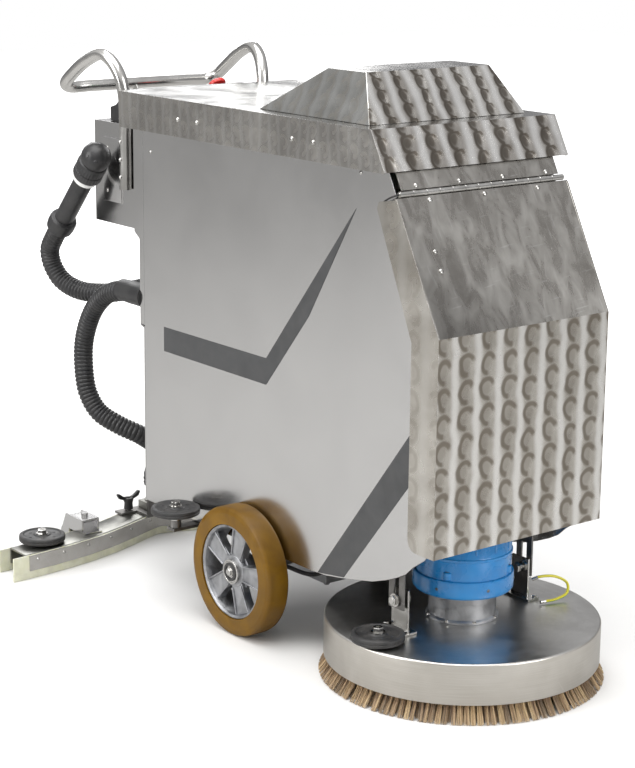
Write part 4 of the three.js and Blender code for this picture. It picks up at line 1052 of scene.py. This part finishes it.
for k in range(8):
    angle = math.pi / 8 + k * math.pi / 4
    addScrew(mesh, (0.0635 * math.cos(angle), deckCentre[1] + 0.0635 * math.sin(angle), 0.1120), (0, 0, 1), 0.0034,
             0.0030, "hex")
pieceOf(mesh, "flangeBolts", brightSteel, "brush_head")

motorPlan = {"lugAngles": (0.5, 2.07, 3.64, 5.21)}
mesh = bmesh.new()
body = [(0, 0.1574), (0.070, 0.1574), (0.0730, 0.1578), (0.0880, 0.1630), (0.0908, 0.1665), (0.0910, 0.1700), (0.0910,
        0.1925), (0.0902, 0.1950), (0.0885, 0.1958),
        (0.0862, 0.1962), (0.0858, 0.1985), (0.0860, 0.2010), (0.0862, 0.2290), (0.0868, 0.2305), (0.0880, 0.2312),
        (0.0880, 0.2355), (0.0868, 0.2364), (0.0860, 0.2378),
        (0.0860, 0.3020), (0.0850, 0.3100), (0.0815, 0.3200), (0.0740, 0.3290), (0.0620, 0.3350), (0.0600, 0.3358), (0,
                0.3358)]
addLathe(mesh, body, deckCentre, sides=128)
for angle in motorPlan["lugAngles"]:
    outward = Vector((math.cos(angle), math.sin(angle), 0))
    foot = Vector(deckCentre) + outward * 0.0800
    addRod(mesh, foot + Vector((0, 0, 0.1970)), foot + Vector((0, 0, 0.2120)), 0.0098, 24, 0.0018)
for k in range(14):
    angle = 0.2 + k * 2 * math.pi / 14
    outward = Vector((math.cos(angle), math.sin(angle), 0))
    start = Vector(deckCentre) + outward * 0.0858
    addSweep(mesh, [start + Vector((0, 0, h)) for h in (0.2440, 0.2460, 0.2960, 0.2985)], [0.0002, 0.0021, 0.0021,
            0.0002], 8)
addBlock(mesh, (-0.030, deckCentre[1] + 0.0700, 0.252), (0.030, deckCentre[1] + 0.0875, 0.312))
pieceOf(mesh, "brushMotor", motorBlue, "brush_head", ["brush_motor"], sharp=40)
mesh = bmesh.new()
for angle in motorPlan["lugAngles"]:
    outward = Vector((math.cos(angle), math.sin(angle), 0))
    addScrew(mesh, Vector(deckCentre) + outward * 0.0812 + Vector((0, 0, 0.2120)), (0, 0, 1), 0.0048, 0.0042, "hex")
for k in range(6):
    angle = k * math.pi / 3 + 0.3
    outward = Vector((math.cos(angle), math.sin(angle), 0))
    addScrew(mesh, Vector(deckCentre) + outward * 0.0908 + Vector((0, 0, 0.1790)), outward, 0.0030, 0.0014)
pieceOf(mesh, "motorBolts", darkSteel, "brush_head")
mesh = bmesh.new()
addLathe(mesh, [(0, 0.070), (0.0455, 0.070), (0.046, 0.0705), (0.046, 0.093), (0.0445, 0.0955), (0.030, 0.0998),
                (0.018, 0.1015), (0.0168, 0.103), (0.0168, 0.140), (0.0150, 0.1418), (0, 0.1418)],
         deckCentre, sides=56)
pieceOf(mesh, "brushHub", darkSteel, "brush", ["brush_hub"])
mesh = bmesh.new()
addLathe(mesh, [(0.0605, 0.0452), (0.2338, 0.0452), (0.2355, 0.0470), (0.2356, 0.0510), (0.2300, 0.0650),
                (0.2200, 0.0685), (0.2130, 0.0695), (0.0605, 0.0695)], deckCentre, sides=112)
for k in range(6):
    angle = k * math.pi / 3
    addScrew(mesh, (0.053 * math.cos(angle) * 1.9, deckCentre[1] + 0.053 * math.sin(angle) * 1.9, 0.0694), (0, 0, 1),
             0.005, 0.003, "hex")
pieceOf(mesh, "brushBlock", plasticBlack, "brush", ["brush_block"])

# each row: root radius, tip radius, tufts, bristles in a tuft
tuftPlan = {
    "seed": 7, "root": 0.0455, "bristleRadius": 0.00058, "tuftRadius": 0.0030, "widest": 0.2587,
    "rows": [(0.2330, 0.2578, 136, 26), (0.2235, 0.2455, 128, 20), (0.2100, 0.2270, 104, 12), (0.1930, 0.2050, 84, 9),
             (0.1740, 0.1820, 66, 8), (0.1540, 0.1580, 52, 8), (0.1340, 0.1330, 40, 8)],
}


def makeTufts(plan):
    chance = random.Random(plan["seed"])
    points, faces, tones, alongs = [], [], [], []
    for row, (rootRadius, tipRadius, count, bristles) in enumerate(plan["rows"]):
        for k in range(count):
            turn = (k + 0.5 * (row % 2) + chance.uniform(-0.12, 0.12)) * 2 * math.pi / count
            tuftTone = chance.uniform(0.12, 0.95)
            tuftLean = chance.uniform(-0.004, 0.004)
            for _ in range(bristles):
                spin, reach = chance.uniform(0, 6.283), math.sqrt(chance.random())
                acrossRoot, outRoot = plan["tuftRadius"] * reach * math.cos(spin), plan["tuftRadius"] * reach * math.sin(spin)
                spread = chance.uniform(1.35, 1.9)
                acrossTip, outTip = acrossRoot * spread + tuftLean + chance.uniform(-0.0016, 0.0016), outRoot * 0.9
                low = chance.uniform(0.0, 0.0022)
                tone = min(1.0, max(0.0, tuftTone + chance.uniform(-0.38, 0.38)))
                first = len(points)
                for share in (0.0, 0.5, 1.0):
                    bow = share ** 1.6
                    radial = rootRadius + outRoot + (min(tipRadius + outTip,
                            plan["widest"]) - rootRadius - outRoot) * bow
                    sideways = acrossRoot + (acrossTip - acrossRoot) * share
                    height = plan["root"] + (low - plan["root"]) * share
                    thick = plan["bristleRadius"] * (1 - 0.35 * share)
                    for corner in range(3):
                        a = spin + corner * 2.0944
                        r, s = radial + thick * math.cos(a), sideways + thick * math.sin(a)
                        points.append((r * math.cos(turn) - s * math.sin(turn),
                                       deckCentre[1] + r * math.sin(turn) + s * math.cos(turn), height))
                        tones.append(tone)
                        alongs.append(share)
                for level in (0, 3):
                    for corner in range(3):
                        n = (corner + 1) % 3
                        faces.append((first + level + corner, first + level + n, first + level + 3 + n,
                                      first + level + 3 + corner))
                faces.append((first + 6, first + 7, first + 8))
    data = bpy.data.meshes.new("bristles")
    data.from_pydata(points, [], faces)
    for name, values in (("tone", tones), ("along", alongs)):
        data.attributes.new(name, "FLOAT", "POINT").data.foreach_set("value", values)
    data.materials.append(tuftFibre)
    tufts = bpy.data.objects.new("bristles", data)
    bpy.context.scene.collection.objects.link(tufts)
    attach(tufts, "brush")
    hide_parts("bristle_ring")
    return len(faces)


print("brush made,", makeTufts(tuftPlan), "bristle faces")

for side, word in bothSides:
    fromNode("deck_bracket_" + word, "deckBracket" + word.title(), brightSteel, 0.0008)
    fromNode("deck_hanger_" + word, "deckHanger" + word.title(), darkSteel, 0.0007)
    mesh = bmesh.new()
    for y in (-0.424, -0.368):
        addScrew(mesh, (side * 0.1545, y, 0.1123), (0, 0, 1), 0.0052, 0.0046, "hex")
    addRod(mesh, (side * 0.1565, -0.396, 0.166), (side * 0.1595, -0.396, 0.166), 0.0118, 28, 0.0006)
    addScrew(mesh, (side * 0.1595, -0.396, 0.166), (side, 0, 0), 0.0095, 0.0068, "hex")
    pieceOf(mesh, "deckLinkBolts" + word.title(), brightSteel, "brush_head")
print("deck made")

# squeegee
bladePlan = {"end": 0.484, "rise": 0.0955, "spread": 0.175, "power": 1.35}


def bladeLine(x):
    return bladePlan["end"] + bladePlan["rise"] * math.exp(-((abs(x) / bladePlan["spread"]) ** bladePlan["power"]))


def addCurvedStrip(mesh, half, section, steps=96):
    rings = []
    for k in range(steps + 1):
        x = -half + 2 * half * k / steps
        rings.append([mesh.verts.new((x, bladeLine(x) + offset, z)) for offset, z in section])
    for near, far in zip(rings, rings[1:]):
        for k in range(len(section)):
            n = (k + 1) % len(section)
            mesh.faces.new([near[k], far[k], far[n], near[n]])
    mesh.faces.new(rings[0])
    mesh.faces.new(rings[-1][::-1])


mesh = bmesh.new()
addCurvedStrip(mesh, 0.385, [(0.008, 0.016), (0.012, 0.016), (0.012, 0.046), (0.069, 0.046), (0.069, 0.016),
                             (0.073, 0.016),
                             (0.073, 0.0480), (0.0715, 0.0495), (0.0700, 0.050), (0.0110, 0.050), (0.0095, 0.0495),
                             (0.008, 0.0480)])
addBlock(mesh, (-0.027, 0.5916, 0.0500), (0.027, 0.6272, 0.0715))
addLathe(mesh, [(0, 0.070), (0.0190, 0.070), (0.0190, 0.0735), (0.0150, 0.0750), (0.0150, 0.1050), (0.0142, 0.1058),
                (0, 0.1058)], (0, 0.6094, 0), sides=40)
for side in (-1, 1):
    addRod(mesh, (side * 0.058, 0.619, 0.0500), (side * 0.058, 0.619, 0.0758), 0.0039, 20, 0.0006)
    addRod(mesh, (side * 0.314, 0.552, 0.0495), (side * 0.314, 0.552, 0.0780), 0.0058, 24)
pieceOf(mesh, "squeegeeChannel", channelSteel, "squeegee", ["squeegee_channel"], bevel=0.0006)
mesh = bmesh.new()
addCurvedStrip(mesh, 0.417, [(0.0031, 0.0), (0.0058, 0.0), (0.0069, 0.0016), (0.0069, 0.0488), (0.0060, 0.0496),
                             (0.0031, 0.0496)], 120)
pieceOf(mesh, "frontBlade", bladeRubber, "squeegee", ["front_blade"], bevel=0.0004)
mesh = bmesh.new()
addCurvedStrip(mesh, 0.409, [(0.0734, 0.0016), (0.0745, 0.0), (0.0774, 0.0), (0.0774, 0.0472), (0.0768, 0.0480),
                             (0.0734, 0.0480)], 120)
pieceOf(mesh, "rearBlade", bladeRubber, "squeegee", ["rear_blade"], bevel=0.0004)
mesh = bmesh.new()
addCurvedStrip(mesh, 0.380, [(0.0010, 0.0165), (0.0030, 0.0165), (0.0030, 0.0490), (0.0010, 0.0490)])
pieceOf(mesh, "bladeClamp", plateSteel, "squeegee", bevel=0.0003)
mesh = bmesh.new()
for k in range(12):
    x = -0.360 + k * 0.720 / 11
    slope = (bladeLine(x + 0.001) - bladeLine(x - 0.001)) / 0.002
    outward = Vector((slope, -1, 0)).normalized()
    addScrew(mesh, Vector((x, bladeLine(x) + 0.0010, 0.0388)), outward, 0.0036, 0.0020)
pieceOf(mesh, "clampScrews", brightSteel, "squeegee")
fromNode("tow_arm", "towArm", darkSteel, 0.0008)

knobPlan = {"y": 0.619, "z": 0.058, "wing": [(0.0060, 0.0195), (0.0240, 0.0262), (0.0282, 0.0335), (0.0288, 0.0365),
                                             (0.0270, 0.0378), (0.0238, 0.0376), (0.0135, 0.0300), (0.0060, 0.0275)]}
for side, word in bothSides:
    x = side * 0.058
    plan = knobPlan
    mesh = bmesh.new()
    addLathe(mesh, [(0.0045, 0.0002), (0.0096, 0.0002), (0.0100, 0.0014), (0.0090, 0.0140), (0.0110, 0.0200),
                    (0.0110, 0.0248), (0.0100, 0.0258), (0.0045, 0.0258)],
             (x, plan["y"], plan["z"]), sides=40, ripple=ribs(10, 0.05, 0.001, 0.019))
    for way in (-1, 1):
        outline = [(x + way * a, plan["z"] + b) for a, b in plan["wing"]]
        addPrism(mesh, outline, plan["y"] - 0.0034, plan["y"] + 0.0034, "y")
    pieceOf(mesh, "wingKnob" + word.title(), plasticBlack, "knob_" + word, ["wing_knob_" + word],
            bevel=0.0010)
    fromNode("support_bracket_" + word, "supportBracket" + word.title(), satinSteel, 0.0007)
    wheelX = side * 0.200
    mesh = bmesh.new()
    middle = (wheelX - 0.012, bladeLine(wheelX) + 0.073 + 0.040, 0.0264)
    addLathe(mesh, [(0.0046, 0.0), (0.0190, 0.0), (0.0195, 0.0010), (0.0215, 0.0004), (0.0250, 0.0016),
                    (0.0259, 0.0045), (0.0259, 0.0195), (0.0250, 0.0224),
                    (0.0215, 0.0236), (0.0195, 0.0230), (0.0190, 0.0240), (0.0046, 0.0240)], middle, (1, 0, 0), 56)
    pieceOf(mesh, "supportWheel" + word.title(), rubberBlack, "support_wheel_body_" + word,
            ["support_wheel_" + word])
print("squeegee made")

# control box, console and handle
fromNode("control_box", "controlBox", satinSteel, 0.0010)
fromNode("control_cover", "controlCover", satinSteel, 0.0005)
fromNode("control_console", "controlConsole", plasticBlack, 0.0016)
mesh = bmesh.new()
for x in (-0.143, 0, 0.143):
    for z in (0.724, 0.903):
        addScrew(mesh, (x, 0.5740, z), (0, 1, 0), 0.0040, 0.0020)
for side in (-1, 1):
    for z in (0.778, 0.864):
        addScrew(mesh, (side * 0.1600, 0.522, z), (side, 0, 0), 0.0042, 0.0020)
pieceOf(mesh, "boxScrews", brightSteel, "chassis")

panelPlan = {"y": 0.495, "z": 0.967, "normal": (0, 0.629, 0.777), "down": (0, 0.777, -0.629)}
panelNormal = Vector(panelPlan["normal"]).normalized()
panelDown = Vector(panelPlan["down"]).normalized()


def onPanel(x, down=0.0, lift=0.0):
    return Vector((x, panelPlan["y"], panelPlan["z"])) + panelDown * down + panelNormal * lift


def addPanelPlate(mesh, x, halfWide, halfTall, low, high, down=0.0):
    corners = [(x + a * halfWide, down + b * halfTall) for a, b in ((-1, -1), (1, -1), (1, 1), (-1, 1))]
    rings = [[mesh.verts.new(onPanel(u, v, lift)) for u, v in corners] for lift in (low, high)]
    mesh.faces.new(rings[0])
    mesh.faces.new(rings[1][::-1])
    for k in range(4):
        n = (k + 1) % 4
        mesh.faces.new([rings[0][k], rings[1][k], rings[1][n], rings[0][n]])


mesh = bmesh.new()
addPanelPlate(mesh, 0.058, 0.0165, 0.0110, -0.0010, 0.0012)
pieceOf(mesh, "batteryGauge", rubberBlack, "chassis", bevel=0.0006)
for k, (name, finish) in enumerate((("gaugeLow", lensRed), ("gaugeMiddle", lensWhite), ("gaugeHigh", lensGreen))):
    mesh = bmesh.new()
    for step in range(2):
        addLathe(mesh, [(0, 0.0008), (0.0016, 0.0008), (0.0015, 0.0018), (0, 0.0022)],
                 onPanel(0.0475 + 0.0042 * (2 * k + step)), panelNormal, 16)
    pieceOf(mesh, name, finish, "chassis")
mesh = bmesh.new()
for x, outer, inner in ((-0.040, 0.0125, 0.0097), (0.020, 0.0125, 0.0097), (-0.100, 0.0138, 0.0113)):
    addLathe(mesh, [(inner, 0.0002), (outer, 0.0002), (outer, 0.0012), (outer - 0.0008, 0.0020), (inner, 0.0020)],
             onPanel(x), panelNormal, 40)
pieceOf(mesh, "panelBezels", brightSteel, "chassis")
mesh = bmesh.new()
addLathe(mesh, [(0, 0.0004), (0.0088, 0.0004), (0.0088, 0.0090), (0.0182, 0.0125), (0.0190, 0.0140), (0.0190, 0.0175),
                (0.0180, 0.0195), (0.0150, 0.0218), (0.0080, 0.0229), (0, 0.0230)],
         onPanel(0.100), panelNormal, 64, ribs(18, 0.02, 0.0130, 0.0180))
pieceOf(mesh, "stopButton", lensRed, "stop", ["stop_button"])
mesh = bmesh.new()
addLathe(mesh, [(0, 0.0004), (0.0110, 0.0004), (0.0110, 0.0046), (0.0102, 0.0060), (0.0094, 0.0064), (0, 0.0064)],
         onPanel(-0.100), panelNormal, 48)
addPanelPlate(mesh, -0.100, 0.0012, 0.0042, 0.0058, 0.0100)
addPanelPlate(mesh, -0.100, 0.0014, 0.0090, 0.0100, 0.0218)
pieceOf(mesh, "keySwitch", brightSteel, "key", ["key_switch"], bevel=0.0004)
for node, name, x, finish, word, body in (("brush_button", "brushButton", -0.040, lensGreen, "green_plastic",
                                           "brush_switch"),
                                          ("vacuum_button", "vacuumButton", 0.020, lensWhite, "white_plastic",
                                           "vacuum_switch")):
    mesh = bmesh.new()
    addLathe(mesh, [(0, 0.0004), (0.0089, 0.0004), (0.0089, 0.0068), (0.0082, 0.0077), (0.0060, 0.0080), (0, 0.0074)],
             onPanel(x), panelNormal, 40)
    pieceOf(mesh, name, finish, body, [node])

handlePlan = {"radius": 0.0125, "sides": 32, "step": 0.006,
              "half": [(0.169, 0.440, 0.790), (0.169, 0.440, 0.880), (0.170, 0.440, 0.975), (0.174, 0.449, 1.014),
                       (0.180, 0.470, 1.042), (0.184, 0.498, 1.054),
                       (0.188, 0.545, 1.039), (0.191, 0.596, 1.009), (0.188, 0.630, 0.986), (0.170, 0.6435, 0.977),
                       (0.120, 0.6435, 0.977)]}
handleRoute = [*handlePlan["half"], (0, 0.6435, 0.977), *[(-x, y, z) for x, y, z in handlePlan["half"][::-1]]]
mesh = bmesh.new()
addTube(mesh, {**handlePlan, "route": handleRoute})
pieceOf(mesh, "handleBar", tubeSteel, "chassis", ["handle_bar"], sharp=50)
mesh = bmesh.new()
for side in (-1, 1):
    for z in (0.815, 0.850, 0.885):
        addScrew(mesh, (side * 0.1815, 0.440, z), (side, 0, 0), 0.0044, 0.0026)
pieceOf(mesh, "handleScrews", brightSteel, "chassis")
print("controls made")

# floor, light and surroundings
stagePlan = {"floorHalf": 12.0, "floorDrop": 0.0006, "floorTone": (0.84, 0.835, 0.825), "reflectionShadeFloor": (0.47, 0.465,
        0.455), "fade": (1.4, 3.2)}


def floorFinish(plan):
    material, tree, surface = shader("pale_floor", Roughness=0.62)
    seen = tree.nodes.new("ShaderNodeLightPath").outputs["Is Glossy Ray"]
    grain = noiseNode(tree, objectPlace(tree), 6.0, 4.0, 0.55)
    tone = mixColour(tree, rangeNode(tree, grain, 0.3, 0.7), plan["floorTone"],
                     tuple(v * 1.02 for v in plan["floorTone"]))
    # glossy rays see a darker floor: a painted darker reflection of the floor in the steel
    tree.links.new(mixColour(tree, seen, tone, plan["reflectionShadeFloor"]), surface.inputs["Base Color"])
    tree.links.new(bumpNode(tree, noiseNode(tree, objectPlace(tree), 240.0, 3.0, 0.6), 0.06, 0.0006),
                   surface.inputs["Normal"])
    parts = tree.nodes.new("ShaderNodeVectorMath")
    parts.operation = "LENGTH"
    tree.links.new(objectPlace(tree), parts.inputs[0])
    far = rangeNode(tree, parts.outputs["Value"], *plan["fade"])
    camera = tree.nodes.new("ShaderNodeLightPath").outputs["Is Camera Ray"]
    tree.links.new(mathNode(tree, "MULTIPLY", far, camera), surface.inputs["Emission Strength"])
    surface.inputs["Emission Color"].default_value = (1.0, 1.0, 1.0, 1.0)
    return material


half = stagePlan["floorHalf"]
floorData = bpy.data.meshes.new("floor")
floorCorners = [(a * half, b * half, -stagePlan["floorDrop"]) for a, b in ((-1, -1), (1, -1), (1, 1), (-1, 1))]
floorData.from_pydata(floorCorners, [], [(0, 1, 2, 3)])
floorData.materials.append(floorFinish(stagePlan))
floor = bpy.data.objects.new("floor", floorData)
bpy.context.scene.collection.objects.link(floor)

lampPlan = [
    ("topSoftbox", (-0.6, -0.2, 3.6), (0, 0, 0.4), (3.2, 3.0), 105),
    ("rightSoftbox", (-4.2, 0.9, 2.1), (0, 0, 0.6), (2.4, 2.6), 95),
    ("frontSoftbox", (0.9, -4.4, 2.3), (0, -0.3, 0.6), (2.2, 2.4), 80),
    ("rearSoftbox", (1.6, 3.6, 2.6), (0, 0, 0.6), (2.6, 2.0), 55),
]
for name, place, target, size, power in lampPlan:
    lamp = bpy.data.lights.new(name, "AREA")
    lamp.shape, lamp.size, lamp.size_y, lamp.energy = "RECTANGLE", size[0], size[1], power
    holder = bpy.data.objects.new(name, lamp)
    holder.location = place
    holder.rotation_euler = (Vector(target) - Vector(place)).to_track_quat("-Z", "Y").to_euler()
    bpy.context.scene.collection.objects.link(holder)

world = bpy.data.worlds.new("surroundings")
bpy.context.scene.world = world
world.use_nodes = True
tree = world.node_tree
backdrop = tree.nodes["Background"]
direction = tree.nodes.new("ShaderNodeSeparateXYZ")
tree.links.new(tree.nodes.new("ShaderNodeTexCoord").outputs["Generated"], direction.inputs[0])
height = rangeNode(tree, direction.outputs[2], -0.25, 0.75)
across = rangeNode(tree, mathNode(tree, "ADD", direction.outputs[0],
                                  mathNode(tree, "MULTIPLY", direction.outputs[1], 0.4)), -0.9, 0.9)
upper = mixColour(tree, across, (0.95, 0.95, 0.94), (0.55, 0.55, 0.56))
lower = mixColour(tree, across, (0.46, 0.455, 0.45), (0.26, 0.26, 0.265))
mirrored = mixColour(tree, height, lower, upper)
lowBand = mathNode(tree, "SUBTRACT", 1.0, rangeNode(tree,
                                                    mathNode(tree, "ABSOLUTE", mathNode(tree, "SUBTRACT",
                                                            direction.outputs[2], 0.13)), 0.05, 0.16))
mirrored = mixColour(tree, mathNode(tree, "MULTIPLY", lowBand, 0.7), mirrored, (0.16, 0.16, 0.165))
seen = tree.nodes.new("ShaderNodeLightPath").outputs["Is Camera Ray"]
tree.links.new(mixColour(tree, seen, mirrored, (1.0, 1.0, 1.0)), backdrop.inputs["Color"])
bpy.context.scene.view_settings.view_transform = "Standard"
print("stage made")
